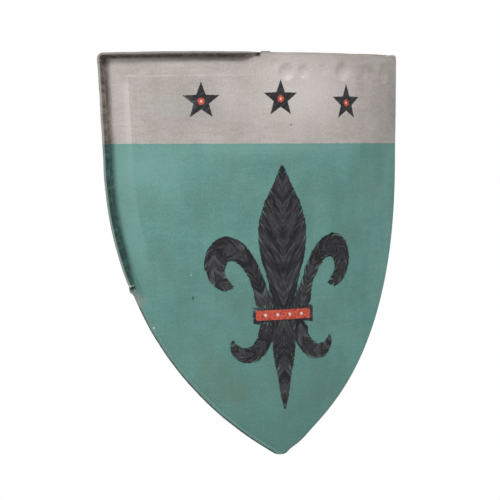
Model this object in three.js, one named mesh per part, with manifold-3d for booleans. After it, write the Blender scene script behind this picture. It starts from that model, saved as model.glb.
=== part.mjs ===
// A heater shield of painted sheet steel, with a wired rim and the straps that an arm holds it by.
// Millimetres. +Z is up and the painted front faces -Y. The origin is where the forearm bears on the
// pad: on the middle line of the shield, at the height of the arm, on the rear face of the pad.
import * as THREE from 'three';
import { mergeVertices } from 'three/addons/utils/BufferGeometryUtils.js';
import Module from 'manifold-3d';

const wasm = await Module();
wasm.setup();

// The sheet and the panel inside its rim, laid flat: widths are arc lengths on the front face
const sheetThickness = 1;
const panelHeight = 601;
const topHalfWidth = 266;
const shoulderNarrowing = 7;
const shoulderDepth = 155;
const leftCornerRadius = 4;
const rightCornerRadius = 3;
const tipRadius = 14;
const bendRadius = 390;

// The margin that slopes down to the rim on the left and along the left half of the top
const marginWidth = 36;
const marginDrop = 2.6;
const marginFadeStart = -70;
const marginFadeEnd = -25;
const marginFadeLength = 90;

// The wired rim: turned to the front on the left, and beaten over to the back on the right
const foldRadius = 1.5;
const wireRadius = 0.7;
const wireClearance = 0.25;
const frontRimHeight = 14;
const flatRimHeight = 6.5;
const flatRimAngle = 24;
const backRimHeight = 12;
const rollAngle = 285;
const tearStart = -29;
const tearEnd = -9;
const tearSlope = 2.5;
const tearTaper = 28;
const tornRimHeight = 5;
const tornLip = 4.5;
const tipLip = 4.5;
const kinkDepth = 350;
const kinkHalfLength = 7;

// How the surfaces are divided: shares of the sizes that they follow, and counts
const cornerRowShares = [0.1, 0.4, 1];
const leftColumnCount = 9;
const rightColumnCount = 12;
const lowerRowCount = 10;
const tipSteps = 3;
const foldSteps = 2;
const rollSteps = 6;
const wireSides = 5;
const foldArcSteps = 9;
const turnedSides = 10;
const holeSides = 10;
const eyeSteps = 9;
const prongSides = 8;
const gripSteps = 12;
const tongueSteps = 18;
const padSides = 32;

// Where the arm goes, and the clearances of what it is held by
const armDepth = 225;
const seat = 0.3;
const overrun = 4;

// Staples of round rod, welded to the back by their feet
const rodRadius = 2;
const rodBend = 3.2;
const stapleRise = 10;
const stapleFoot = 14;
const stapleSideClearance = 1.6;

// Leather straps, their folded ends and the rivets through them
const leather = 3.2;
const strapWidth = 30;
const strapSeam = 0.3;
const foldTaper = 14;
const foldTail = 33;
const strapAngle = 42;
const rivetPlace = 24;
const rivetSpread = 8;
const rivetRadius = 1.5;
const rivetClearance = 0.2;
const rivetHeadRadius = 4.6;
const rivetHeadHeight = 1.7;
const rivetEndRadius = 2.6;
const rivetEndHeight = 1;
const burrThickness = 1;
const domeShares = [[0.62, 0.12], [1, 1]];

// The hand grip
const gripPlace = -105;
const gripHalfSpan = 62;
const gripReach = 28;

// The forearm strap, unbuckled: its tongue hangs from the lower staple
const armStrapPlace = 88;
const armHalfSpan = 78;
const tongueReach = 72;
const tongueStandOff = 84;
const tongueTurn = 60;
const tongueDrop = 128;
const tonguePoint = 20;
const tongueTipWidth = 9;
const tonguePointShares = [[1, 1], [0.66, 0.93], [0.36, 0.72], [0.14, 0.42], [0, 0]];
const tongueHoleRadius = 2.2;
const tongueHoleCount = 5;
const tongueHolePitch = 18;
const tongueHoleStart = 32;

// The buckle on its chape, which hangs from the upper staple
const chapeLength = 76;
const chapeButtGap = 2;
const buckleLength = 30;
const buckleSideClearance = 1.5;
const buckleCorner = 3;
const rollerWall = 0.9;
const rollerEndClearance = 2.5;
const prongRadius = 1.4;
const prongOverhang = 3;
const prongEyeAngle = 250;
const slotClearance = 1;
const slotLength = 15;
const keeperThickness = 1.8;
const keeperWidth = 10;
const keeperRoom = 1.4;
const keeperCorner = 1.3;

// Rings for the neck strap, each in a welded clip
const ringInset = 98;
const ringDepth = 72;
const ringWireRadius = 2;
const ringHalfWidth = 17;
const ringDrop = 26;
const ringCorner = 4;
const ringBow = 14;
const ringRise = 3.1;
const clipThickness = 1.5;
const clipWidth = 15;
const clipFoot = 12;
const clipBend = 1.6;
const clipRoundShare = 0.9;

// The pad between the arm and the steel
const padPlace = 37;
const padHalfLength = 97;
const padHalfWidth = 56;
const padThickness = 16;
const padPullIn = 4;
const padBluntShare = 0.42;
const padRingShares = [
  [0.1, 0], [0.5, 0], [0.8, 0], [0.96, 0], [1, 0.14], [0.995, 0.42], [0.97, 0.7],
  [0.91, 0.88], [0.78, 0.97], [0.45, 1], [0.1, 1],
];

const degree = Math.PI / 180;
const innerRadius = bendRadius - sheetThickness;
const padRise = seat + padThickness;
const frontY = -padRise - sheetThickness;
const axisY = frontY + bendRadius;
const topZ = armDepth;
const shoulderHalfWidth = topHalfWidth - shoulderNarrowing;
const ringPlace = topHalfWidth - ringInset;

const colours = {
  paint: 0x6f9a90, steel: 0x8b8a86, leather: 0x6b4226, padLeather: 0x3f2c20, copper: 0xa9623c,
  nickel: 0xa7a49b,
};

function finish(colour, roughness, metalness) {
  return new THREE.MeshStandardMaterial({ color: colour, roughness, metalness });
}

const finishes = {
  paint: () => finish(colours.paint, 0.55, 0.1),
  steel: () => finish(colours.steel, 0.45, 0.8),
  leather: () => finish(colours.leather, 0.7, 0),
  padLeather: () => finish(colours.padLeather, 0.75, 0),
  copper: () => finish(colours.copper, 0.4, 0.9),
  nickel: () => finish(colours.nickel, 0.3, 0.9),
};

const shield = new THREE.Group();

function addPiece(name, geometry, material, parent = shield) {
  const mesh = new THREE.Mesh(geometry, finishes[material]());
  mesh.name = name;
  parent.add(mesh);
  return mesh;
}

// Booleans: a closed geometry becomes a solid, and a solid becomes a geometry again
function solidOf(geometry) {
  const bare = geometry.clone();
  bare.deleteAttribute('normal');
  bare.deleteAttribute('uv');
  const merged = mergeVertices(bare);
  return new wasm.Manifold(new wasm.Mesh({
    numProp: 3,
    vertProperties: merged.attributes.position.array,
    triVerts: new Uint32Array(merged.index.array),
  }));
}

function geometryOf(solid) {
  const mesh = solid.getMesh();
  const geometry = new THREE.BufferGeometry();
  geometry.setAttribute('position', new THREE.BufferAttribute(mesh.vertProperties, 3));
  geometry.setIndex(new THREE.BufferAttribute(mesh.triVerts, 1));
  geometry.computeVertexNormals();
  return geometry;
}

function cut(geometry, tools) {
  return geometryOf(tools.reduce((solid, tool) => solid.subtract(solidOf(tool)), solidOf(geometry)));
}

// Points and triangles as a geometry whose faces point outwards
function facets(points, triangles) {
  const volume = triangles.reduce((sum, [a, b, c]) => {
    return sum + points[a].dot(new THREE.Vector3().crossVectors(points[b], points[c]));
  }, 0);
  const index = triangles.flatMap(([a, b, c]) => (volume < 0 ? [a, c, b] : [a, b, c]));
  const geometry = new THREE.BufferGeometry().setFromPoints(points);
  geometry.setIndex(index);
  geometry.computeVertexNormals();
  return geometry;
}

// Rings of points joined in order. An open loft is closed by a fan across each end.
function loft(rings, closed = false) {
  const count = rings[0].length;
  const triangles = [];
  const lastRing = closed ? rings.length : rings.length - 1;
  for (let ring = 0; ring < lastRing; ring += 1) {
    const next = (ring + 1) % rings.length;
    for (let side = 0; side < count; side += 1) {
      const other = (side + 1) % count;
      triangles.push([ring * count + side, next * count + side, next * count + other]);
      triangles.push([ring * count + side, next * count + other, ring * count + other]);
    }
  }
  const end = (rings.length - 1) * count;
  for (let side = 1; side < count - 1 && !closed; side += 1) {
    triangles.push([0, side, side + 1]);
    triangles.push([end, end + side + 1, end + side]);
  }
  return facets(rings.flat(), triangles);
}

// A section carried along a flat path in X and Y. A section point is [across, out]: across lies to
// the right of the path and is mitred at its corners, and out is along Z.
function sweep(path, sectionAt, closed = false) {
  const last = path.length - 1;
  const rings = path.map((point, place) => {
    const before = path[place > 0 ? place - 1 : closed ? last : 0];
    const after = path[place < last ? place + 1 : closed ? 0 : last];
    const arriving = point.clone().sub(before).normalize();
    const leaving = after.clone().sub(point).normalize();
    const along = arriving.clone().add(leaving).normalize();
    const mitre = 1 / Math.max(along.dot(arriving), along.dot(leaving));
    const right = new THREE.Vector2(along.y, -along.x).multiplyScalar(mitre);
    return sectionAt(place).map(([across, out]) => {
      return new THREE.Vector3(point.x + right.x * across, point.y + right.y * across, out);
    });
  });
  return loft(rings, closed);
}

function roundSection(radius, sides = 8) {
  const section = Array.from({ length: sides }, (_, side) => {
    const angle = 2 * Math.PI * (side + 0.5) / sides;
    return [radius * Math.cos(angle), radius * Math.sin(angle)];
  });
  return () => section;
}

// A flat path through corner points, each corner rounded by an arc. Each corner is [x, y, radius].
function roundedPath(corners, closed = false, steps = 3) {
  const path = [];
  corners.forEach(([x, y, radius], place) => {
    const corner = new THREE.Vector2(x, y);
    const isEnd = !closed && (place === 0 || place === corners.length - 1);
    if (isEnd || !radius) {
      path.push(corner);
      return;
    }
    const [beforeX, beforeY] = corners[(place + corners.length - 1) % corners.length];
    const [afterX, afterY] = corners[(place + 1) % corners.length];
    const back = new THREE.Vector2(beforeX, beforeY).sub(corner).normalize();
    const on = new THREE.Vector2(afterX, afterY).sub(corner).normalize();
    const halfAngle = Math.acos(back.dot(on)) / 2;
    const centre = back.clone().add(on).normalize().multiplyScalar(radius / Math.sin(halfAngle)).add(corner);
    const reach = radius / Math.tan(halfAngle);
    const start = corner.clone().addScaledVector(back, reach).sub(centre);
    const end = corner.clone().addScaledVector(on, reach).sub(centre);
    const turn = Math.sign(start.cross(end)) * (Math.PI - 2 * halfAngle);
    for (let step = 0; step <= steps; step += 1) {
      path.push(start.clone().rotateAround(new THREE.Vector2(), turn * step / steps).add(centre));
    }
  });
  return path;
}

// The flat outline of the panel inside its rim: half its width at a depth below its top edge. The
// sides are straight to the shoulder, then arcs that run smoothly into a small circle at the tip.
const tipCentreDepth = panelHeight - tipRadius;
const tipRun = tipCentreDepth - shoulderDepth;
const sideRadius = (shoulderHalfWidth ** 2 + tipRun ** 2 - tipRadius ** 2)
  / (2 * (shoulderHalfWidth - tipRadius));
const tipAngle = Math.asin(tipRun / (sideRadius - tipRadius));
const tipCircleStart = shoulderDepth + sideRadius * Math.sin(tipAngle);

function sideHalfWidth(depth) {
  if (depth < shoulderDepth) {
    return THREE.MathUtils.lerp(topHalfWidth, shoulderHalfWidth, depth / shoulderDepth);
  }
  if (depth > tipCircleStart) {
    return Math.sqrt(Math.max(tipRadius ** 2 - (depth - tipCentreDepth) ** 2, 0));
  }
  return shoulderHalfWidth - sideRadius + Math.sqrt(sideRadius ** 2 - (depth - shoulderDepth) ** 2);
}

function halfWidth(depth, cornerRadius) {
  const toCorner = Math.max(cornerRadius - depth, 0);
  return sideHalfWidth(depth) - cornerRadius + Math.sqrt(cornerRadius ** 2 - toCorner ** 2);
}

function evenly(from, to, count) {
  return Array.from({ length: count }, (_, place) => from + (to - from) * (place + 1) / count);
}

// Depths of the rows of points, and the columns of points as shares of the half width
const kinkAngle = Math.asin((kinkDepth + kinkHalfLength - shoulderDepth) / sideRadius);
const rowDepths = [
  0, ...cornerRowShares.map((share) => share * leftCornerRadius),
  marginWidth / 2, marginWidth, ...evenly(marginWidth, shoulderDepth, 4),
  ...evenly(shoulderDepth, kinkDepth - kinkHalfLength, 6), kinkDepth, kinkDepth + kinkHalfLength,
  ...evenly(kinkAngle, tipAngle, lowerRowCount).map((angle) => shoulderDepth + sideRadius * Math.sin(angle)),
  ...evenly(tipAngle, Math.PI / 2, tipSteps).slice(0, -1)
    .map((angle) => tipCentreDepth + tipRadius * Math.sin(angle)),
];
const marginShare = marginWidth / topHalfWidth;
const tearShares = [tearStart, tearStart + tearSlope, tearEnd - tearSlope, tearEnd]
  .map((arc) => arc / topHalfWidth);
const columnShares = [
  -1, marginShare / 2 - 1, marginShare - 1, ...evenly(marginShare - 1, tearShares[0], leftColumnCount),
  ...tearShares.slice(1), ...evenly(tearShares[3], 1, rightColumnCount),
];

// How far the margin lies behind the rest of the front, by column share and depth
function marginFall(share, depth, arc) {
  const { smoothstep, clamp } = THREE.MathUtils;
  const topWeight = 1 - smoothstep(arc, marginFadeStart, marginFadeEnd);
  const leftWeight = 1 - smoothstep(depth, kinkDepth, kinkDepth + marginFadeLength);
  const top = topWeight * clamp(1 - depth / marginWidth, 0, 1);
  const left = leftWeight * clamp(1 - (1 + share) / marginShare, 0, 1);
  return marginDrop * Math.max(top, left);
}

// A point of the bent sheet: arc along it from the middle line, depth below the top, and how far it
// lies in front of the front face
function skinPoint(arc, depth, ahead) {
  const angle = arc / bendRadius;
  const radius = bendRadius + ahead;
  return new THREE.Vector3(radius * Math.sin(angle), axisY - radius * Math.cos(angle), topZ - depth);
}

// The section of the rim, [out, ahead], from the edge of the front face, round the fold, up the
// wall, round the roll and back to the edge of the rear face
const rollOuterRadius = wireRadius + wireClearance + sheetThickness;
const rollInnerRadius = wireRadius + wireClearance;

function rimFrame(height, lean) {
  const up = new THREE.Vector2(Math.sin(lean), Math.cos(lean));
  const out = new THREE.Vector2(Math.cos(lean), -Math.sin(lean));
  const wall = height - foldRadius - rollOuterRadius;
  const foldCentre = new THREE.Vector2(0, foldRadius);
  const rollCentre = foldCentre.clone().addScaledVector(up, wall)
    .addScaledVector(out, foldRadius + sheetThickness + rollInnerRadius);
  return { up, out, foldCentre, rollCentre };
}

function rimSection(height, lean) {
  const { up, out, foldCentre, rollCentre } = rimFrame(height, lean);
  const fold = (radius) => Array.from({ length: foldSteps + 1 }, (_, step) => {
    const angle = -Math.PI / 2 + (Math.PI / 2 - lean) * step / foldSteps;
    return new THREE.Vector2(Math.cos(angle), Math.sin(angle)).multiplyScalar(radius).add(foldCentre);
  });
  const roll = (radius) => Array.from({ length: rollSteps + 1 }, (_, step) => {
    const angle = (180 - rollAngle * step / rollSteps) * degree;
    return rollCentre.clone().addScaledVector(out, radius * Math.cos(angle))
      .addScaledVector(up, radius * Math.sin(angle));
  });
  return [
    ...fold(foldRadius), ...roll(rollOuterRadius), ...roll(rollInnerRadius).reverse(),
    ...fold(foldRadius + sheetThickness).reverse(),
  ];
}

function turnedBack(section) {
  return section.map((point) => new THREE.Vector2(point.x, -sheetThickness - point.y)).reverse();
}

// A plain edge with the same number of points, which the rim becomes at the tear and at the tip
const sectionCount = rimSection(frontRimHeight, 0).length;
const plainEdge = Array.from({ length: sectionCount }, (_, place) => {
  const angle = Math.PI / 2 - Math.PI * place / (sectionCount - 1);
  const middle = -sheetThickness / 2;
  return new THREE.Vector2(-middle * Math.cos(angle), middle - middle * Math.sin(angle));
});

// What the rim is like at a point of the edge: its height, its lean, its way and its share of a
// full rim. It runs out towards the tear, and there and at the tip the sheet ends in a flat lip.
function rimAt({ arc, depth, onTop, isTip }) {
  const { clamp, lerp, smoothstep } = THREE.MathUtils;
  const flat = clamp((depth - kinkDepth) / kinkHalfLength, -1, 1) / 2 + 1 / 2;
  const runOut = onTop ? smoothstep(arc, tearStart - tearTaper, tearStart) : 0;
  const isTorn = onTop && arc > tearStart + tearSlope / 2 && arc < tearEnd - tearSlope / 2;
  const isBack = arc > (onTop ? tearEnd - tearSlope / 2 : 0);
  const frontHeight = lerp(lerp(frontRimHeight, flatRimHeight, flat), tornRimHeight, runOut);
  return {
    height: isBack ? backRimHeight : frontHeight,
    lean: isBack ? 0 : flatRimAngle * flat * degree,
    isBack,
    lip: isTorn ? tornLip : isTip ? tipLip : 0,
    share: isTorn || isTip ? 0 : 1,
  };
}

// The edge as a closed row of stations, from the top left corner along the top, down the right
// side, round the tip and up the left side
function edgeStations() {
  const lastRow = rowDepths.length - 1;
  const lastColumn = columnShares.length - 1;
  const topRow = columnShares.map((_, column) => ({ row: 0, column, onTop: true }));
  const right = rowDepths.slice(1).map((_, place) => ({ row: place + 1, column: lastColumn }));
  const tip = { row: lastRow + 1, column: 0, isTip: true };
  const left = right.map(({ row }) => ({ row, column: 0 })).reverse();
  return [...topRow, ...right, tip, ...left];
}

function panelPlace({ row, column, isTip }) {
  if (isTip) {
    return { arc: 0, depth: panelHeight, fall: 0 };
  }
  const share = columnShares[column];
  const depth = rowDepths[row];
  const arc = share * halfWidth(depth, share < 0 ? leftCornerRadius : rightCornerRadius);
  return { arc, depth, fall: marginFall(share, depth, arc) };
}

const stations = edgeStations().map((station) => ({ ...station, ...panelPlace(station) }));
stations.forEach((station, place) => {
  const before = stations[(place + stations.length - 1) % stations.length];
  const after = stations[(place + 1) % stations.length];
  const outward = new THREE.Vector2(after.depth - before.depth, before.arc - after.arc).normalize();
  Object.assign(station, { outward, rim: rimAt(station) });
});

function rimPoint({ arc, depth, fall, outward }, { x: out, y: ahead }) {
  return skinPoint(arc + outward.x * out, depth + outward.y * out, ahead - fall);
}

function makeSkin() {
  const rows = rowDepths.length;
  const columns = columnShares.length;
  const front = rowDepths.flatMap((_, row) => columnShares.map((__, column) => panelPlace({ row, column })));
  front.push(panelPlace({ isTip: true }));
  const faceAt = (ahead) => front.map(({ arc, depth, fall }) => skinPoint(arc, depth, ahead - fall));
  const points = [...faceAt(0), ...faceAt(-sheetThickness)];
  const triangles = [];
  const quad = (a, b, c, d) => triangles.push([a, b, c], [a, c, d]);
  const at = (row, column) => Math.min(row * columns + column, rows * columns);
  const behind = front.length;
  for (let row = 0; row < rows; row += 1) {
    for (let column = 0; column < columns - 1; column += 1) {
      const [a, b, c, d] = [at(row, column), at(row + 1, column), at(row + 1, column + 1), at(row, column + 1)];
      if (b === c) {
        triangles.push([a, b, d], [a + behind, d + behind, b + behind]);
      } else {
        quad(a, b, c, d);
        quad(a + behind, d + behind, c + behind, b + behind);
      }
    }
  }
  const chains = stations.map((station) => {
    const { height, lean, isBack, lip, share } = station.rim;
    const lipEdge = new THREE.Vector2(lip, 0);
    const section = isBack ? turnedBack(rimSection(height, lean)) : rimSection(height, lean);
    const chain = [at(station.row, station.column)];
    for (let place = 1; place < sectionCount - 1; place += 1) {
      chain.push(points.length);
      points.push(rimPoint(station, plainEdge[place].clone().add(lipEdge).lerp(section[place], share)));
    }
    return [...chain, chain[0] + behind];
  });
  chains.forEach((chain, place) => {
    const next = chains[(place + 1) % chains.length];
    for (let side = 0; side < sectionCount - 1; side += 1) {
      quad(chain[side], next[side], next[side + 1], chain[side + 1]);
    }
  });
  return facets(points, triangles);
}

// A wire lies in the middle of the roll, along a run of stations
function makeWire(run) {
  const section = roundSection(wireRadius, wireSides)();
  const rings = run.map((station) => {
    const { rollCentre } = rimFrame(station.rim.height, station.rim.lean);
    return section.map(([across, along]) => {
      const point = rollCentre.clone().add(new THREE.Vector2(across, along));
      return rimPoint(station, station.rim.isBack ? turnedBack([point])[0] : point);
    });
  });
  return loft(rings);
}

// The whole rim from the tear, down the right side to the tip, and up the left side back to the tear
const tearPlace = stations.findIndex(({ rim }) => rim.isBack);
const wholeRim = [...stations.slice(tearPlace), ...stations.slice(0, tearPlace)]
  .filter(({ rim }) => rim.share === 1);

addPiece('shield_skin', makeSkin(), 'paint');
addPiece('rim_wire_right', makeWire(wholeRim.filter(({ rim }) => rim.isBack)), 'steel');
addPiece('rim_wire_left', makeWire(wholeRim.filter(({ rim }) => !rim.isBack)), 'steel');

// The back. A fitting is modelled about its own place on the inner face: X across, Y off the face
// towards the rear, Z up
function fittingPlace(arc, height) {
  const angle = arc / innerRadius;
  const group = new THREE.Group();
  group.position.set(innerRadius * Math.sin(angle), axisY - innerRadius * Math.cos(angle), height);
  group.rotation.z = angle;
  shield.add(group);
  return group;
}

// A point at an arc beside a fitting's place and a rise off the bent inner face, as [X, Y]
function offFace(arc, rise) {
  const angle = arc / innerRadius;
  const radius = innerRadius - rise;
  return [radius * Math.sin(angle), innerRadius - radius * Math.cos(angle)];
}

// A flat path in rise and height, carried across the strap, and one in X and height
const acrossStrap = new THREE.Matrix4().makeBasis(
  new THREE.Vector3(0, 1, 0), new THREE.Vector3(0, 0, 1), new THREE.Vector3(1, 0, 0),
);
const uprightPlane = new THREE.Matrix4().makeRotationX(Math.PI / 2);

// Staples: a foot each side, two legs and the bar that the strap goes round
const stapleHalfSpan = strapWidth / 2 + stapleSideClearance + rodRadius;

function addStaple(name, place) {
  const foot = seat + rodRadius;
  const side = (way) => [
    [...offFace(way * (stapleHalfSpan + stapleFoot), foot), 0],
    [...offFace(way * stapleHalfSpan, foot), rodBend],
    [way * stapleHalfSpan, stapleRise, rodBend],
  ];
  const path = roundedPath([...side(-1), ...side(1).reverse()]);
  addPiece(name, sweep(path, roundSection(rodRadius)), 'steel', place);
}

// The folded end of a strap: from its tail, round the bar, to where it leaves along a direction.
// The tail lies to the left of the direction, or to the right when side is -1.
function foldedEnd(bar, direction, tail, side = 1) {
  const left = new THREE.Vector2(-direction.y, direction.x).multiplyScalar(side);
  const place = (along, aside) => {
    return bar.clone().addScaledVector(direction, along).addScaledVector(left, aside);
  };
  const half = (leather + strapSeam) / 2;
  const round = rodRadius + seat + leather / 2;
  const open = Math.atan2(half, foldTaper) + Math.acos(round / Math.hypot(half, foldTaper));
  const arc = Array.from({ length: foldArcSteps + 1 }, (_, step) => {
    const angle = open + (2 * Math.PI - 2 * open) * step / foldArcSteps;
    return place(round * Math.cos(angle), round * Math.sin(angle));
  });
  return [place(tail, half), place(foldTaper, half), ...arc, place(foldTaper, -half)];
}

function strap(path, widthAt = () => strapWidth) {
  const section = (place) => {
    const width = widthAt(place);
    return [[-leather, -width], [leather, -width], [leather, width], [-leather, width]]
      .map(([across, out]) => [across / 2, out / 2]);
  };
  return sweep(path, section).applyMatrix4(acrossStrap);
}

// A frame on a strap at a distance from its bar: Y runs out through the leather, away from the
// face, and Z back along the strap
function strapFrame(bar, direction, along, across = 0) {
  const outer = new THREE.Vector2(direction.y, -direction.x);
  if (outer.x < 0) {
    outer.negate();
  }
  const x = new THREE.Vector3(1, 0, 0);
  const y = new THREE.Vector3(0, outer.x, outer.y);
  const centre = bar.clone().addScaledVector(direction, along);
  return new THREE.Matrix4().makeBasis(x, y, new THREE.Vector3().crossVectors(x, y))
    .setPosition(across, centre.x, centre.y);
}

// Rivets with a domed head outside, and a burr inside that the end is spread over
const foldHalfThickness = leather + strapSeam / 2;
const burrFace = -foldHalfThickness - rivetClearance;
const rivetEndFace = burrFace - burrThickness - rivetClearance;

function turned(profile) {
  return new THREE.LatheGeometry(profile.map(([x, y]) => new THREE.Vector2(x, y)), turnedSides);
}

function rivetGeometry() {
  const head = foldHalfThickness + rivetClearance;
  return turned([
    [0, rivetEndFace - rivetEndHeight],
    ...domeShares.map(([out, up]) => [out * rivetEndRadius, rivetEndFace - (1 - up) * rivetEndHeight]),
    [rivetRadius, rivetEndFace], [rivetRadius, head],
    ...domeShares.map(([out, up]) => [out * rivetHeadRadius, head + (1 - up) * rivetHeadHeight]).reverse(),
    [0, head + rivetHeadHeight],
  ]);
}

function ringGeometry(innerWall, outerWall, low, high) {
  return turned([
    [innerWall, low], [outerWall, low], [outerWall, high], [innerWall, high], [innerWall, low],
  ]);
}

function addRivet(name, parent, frame) {
  const hole = rivetRadius + rivetClearance;
  const burr = ringGeometry(hole, rivetHeadRadius, burrFace - burrThickness, burrFace);
  addPiece(`${name}_rivet`, rivetGeometry().applyMatrix4(frame), 'copper', parent);
  addPiece(`${name}_burr`, burr.applyMatrix4(frame), 'copper', parent);
}

function holeTool(frame, radius = rivetRadius + rivetClearance) {
  const length = 2 * (foldHalfThickness + overrun);
  return new THREE.CylinderGeometry(radius, radius, length, holeSides).applyMatrix4(frame);
}

// The hand grip: one strap between two staples, the same at both ends
const leanAngle = strapAngle * degree;
const upAndOut = new THREE.Vector2(Math.sin(leanAngle), Math.cos(leanAngle));
const downAndOut = new THREE.Vector2(Math.sin(leanAngle), -Math.cos(leanAngle));

function addGrip() {
  const place = fittingPlace(gripPlace, 0);
  const lowBar = new THREE.Vector2(stapleRise, -gripHalfSpan);
  const highBar = new THREE.Vector2(stapleRise, gripHalfSpan);
  const lowEnd = foldedEnd(lowBar, upAndOut, foldTail);
  const highEnd = foldedEnd(highBar, downAndOut, foldTail, -1).reverse();
  const straight = foldTail - foldTaper;
  const low = lowEnd.at(-1).clone().addScaledVector(upAndOut, straight);
  const high = highEnd[0].clone().addScaledVector(downAndOut, straight);
  const hold = new THREE.CubicBezierCurve(
    low, low.clone().addScaledVector(upAndOut, gripReach),
    high.clone().addScaledVector(downAndOut, gripReach), high,
  ).getPoints(gripSteps);
  const frames = [[lowBar, upAndOut, 'low'], [highBar, downAndOut, 'high']].flatMap(([bar, way, end]) => {
    return [-1, 1].map((hand) => ({
      name: `grip_${end}_${hand < 0 ? 'left' : 'right'}`,
      frame: strapFrame(bar, way, rivetPlace, hand * rivetSpread),
    }));
  });
  const leatherBody = cut(strap([...lowEnd, ...hold, ...highEnd]), frames.map(({ frame }) => holeTool(frame)));
  const barPlace = (height) => fittingPlace(gripPlace, height);
  addStaple('grip_staple_low', barPlace(-gripHalfSpan));
  addStaple('grip_staple_high', barPlace(gripHalfSpan));
  addPiece('hand_grip', leatherBody, 'leather', place);
  frames.forEach(({ name, frame }) => addRivet(name, place, frame));
}

// The tongue of the forearm strap: folded round the low staple, then bending over and hanging down
// to a point, with its row of holes
function addTongue(place) {
  const bar = new THREE.Vector2(stapleRise, -armHalfSpan);
  const end = foldedEnd(bar, upAndOut, foldTail);
  const start = end.at(-1).clone().addScaledVector(upAndOut, foldTail - foldTaper);
  const tip = new THREE.Vector2(tongueStandOff, start.y - tongueDrop);
  const bow = new THREE.CubicBezierCurve(
    start, start.clone().addScaledVector(upAndOut, tongueReach),
    tip.clone().add(new THREE.Vector2(0, tongueTurn)), tip,
  );
  const bowLength = bow.getLength();
  const along = (fromTip) => 1 - fromTip / bowLength;
  const bodyPlaces = evenly(0, along(tonguePoint), tongueSteps);
  const tipPlaces = tonguePointShares.map(([back]) => along(back * tonguePoint));
  const path = [...end, start, ...[...bodyPlaces, ...tipPlaces].map((share) => bow.getPointAt(share))];
  const firstTip = path.length - tipPlaces.length;
  const widthAt = (spot) => {
    const tipShare = spot < firstTip ? 1 : tonguePointShares[spot - firstTip][1];
    return THREE.MathUtils.lerp(tongueTipWidth, strapWidth, tipShare);
  };
  const frames = [-1, 1].map((hand) => strapFrame(bar, upAndOut, rivetPlace, hand * rivetSpread));
  const holes = Array.from({ length: tongueHoleCount }, (_, hole) => {
    const share = along(tongueHoleStart + hole * tongueHolePitch);
    return holeTool(strapFrame(bow.getPointAt(share), bow.getTangentAt(share), 0), tongueHoleRadius);
  });
  const tools = [...frames.map((frame) => holeTool(frame)), ...holes];
  addPiece('arm_strap_tongue', cut(strap(path, widthAt), tools), 'leather', place);
  frames.forEach((frame, hand) => addRivet(`tongue_${hand ? 'right' : 'left'}`, place, frame));
}

// The chape: one strap round the high staple and the heel bar of the buckle, its ends meeting under
// the keeper, with a slot for the prong
function addChape(place, bar, heel) {
  const tail = (chapeLength - chapeButtGap) / 2;
  const back = downAndOut.clone().negate();
  const path = [
    ...foldedEnd(heel, back, tail), ...foldedEnd(bar, downAndOut, tail, -1).reverse(),
  ];
  const frames = [rivetPlace, chapeLength - rivetPlace].map((along) => strapFrame(bar, downAndOut, along));
  const slotEnd = rodRadius + seat + leather + overrun;
  const slot = new THREE.BoxGeometry(
    2 * (prongRadius + slotClearance), 2 * (foldHalfThickness + overrun), slotLength + slotEnd,
  ).translate(0, 0, (slotLength - slotEnd) / 2).applyMatrix4(strapFrame(heel, downAndOut, 0));
  const tools = [...frames.map((frame) => holeTool(frame)), slot];
  addPiece('buckle_chape', cut(strap(path), tools), 'leather', place);
  frames.forEach((frame, end) => addRivet(`chape_${end ? 'buckle' : 'staple'}`, place, frame));
}

// The keeper: a loop of thin leather round the chape, with room for the tongue
function addKeeper(place, bar) {
  const wall = keeperThickness / 2;
  const side = strapWidth / 2 + seat + wall;
  const low = -foldHalfThickness - seat - wall;
  const high = foldHalfThickness + leather + keeperRoom + wall;
  const path = roundedPath([
    [-side, low, keeperCorner], [side, low, keeperCorner],
    [side, high, keeperCorner], [-side, high, keeperCorner],
  ], true, 2);
  const section = [[-wall, -1], [wall, -1], [wall, 1], [-wall, 1]]
    .map(([across, way]) => [across, way * keeperWidth / 2]);
  const loop = sweep(path, () => section, true);
  addPiece('strap_keeper', loop.applyMatrix4(strapFrame(bar, downAndOut, chapeLength / 2)), 'leather', place);
}

// The roller buckle: a wire frame that hangs from its heel bar, the prong on the same bar, and the
// roller on the front bar
function addBuckle(place, heel) {
  const side = strapWidth / 2 + buckleSideClearance + rodRadius;
  const framePath = roundedPath([
    [-side, 0, buckleCorner], [side, 0, buckleCorner],
    [side, -buckleLength, buckleCorner], [-side, -buckleLength, buckleCorner],
  ], true);
  const hang = (geometry) => geometry.applyMatrix4(uprightPlane).translate(0, heel.x, heel.y);
  addPiece('buckle_frame', hang(sweep(framePath, roundSection(rodRadius), true)), 'nickel', place);

  const rollerBore = rodRadius + seat;
  const rollerRadius = rollerBore + rollerWall;
  const rollerHalf = side - buckleCorner - rollerEndClearance;
  const roller = ringGeometry(rollerBore, rollerRadius, -rollerHalf, rollerHalf)
    .rotateZ(Math.PI / 2).translate(0, heel.x, heel.y - buckleLength);
  addPiece('buckle_roller', roller, 'nickel', place);

  const eye = rodRadius + seat + prongRadius;
  const rest = rollerRadius + seat + prongRadius;
  const eyePath = Array.from({ length: eyeSteps + 1 }, (_, step) => {
    const angle = prongEyeAngle * degree * (1 - step / eyeSteps);
    return new THREE.Vector2(eye * Math.cos(angle), eye * Math.sin(angle));
  });
  const reach = 1 + prongOverhang / buckleLength;
  const tip = new THREE.Vector2(eye + (rest - eye) * reach, -buckleLength * reach);
  const prong = sweep([...eyePath, tip], roundSection(prongRadius, prongSides))
    .applyMatrix4(acrossStrap).translate(0, heel.x, heel.y);
  addPiece('buckle_prong', prong, 'nickel', place);
}

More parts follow.
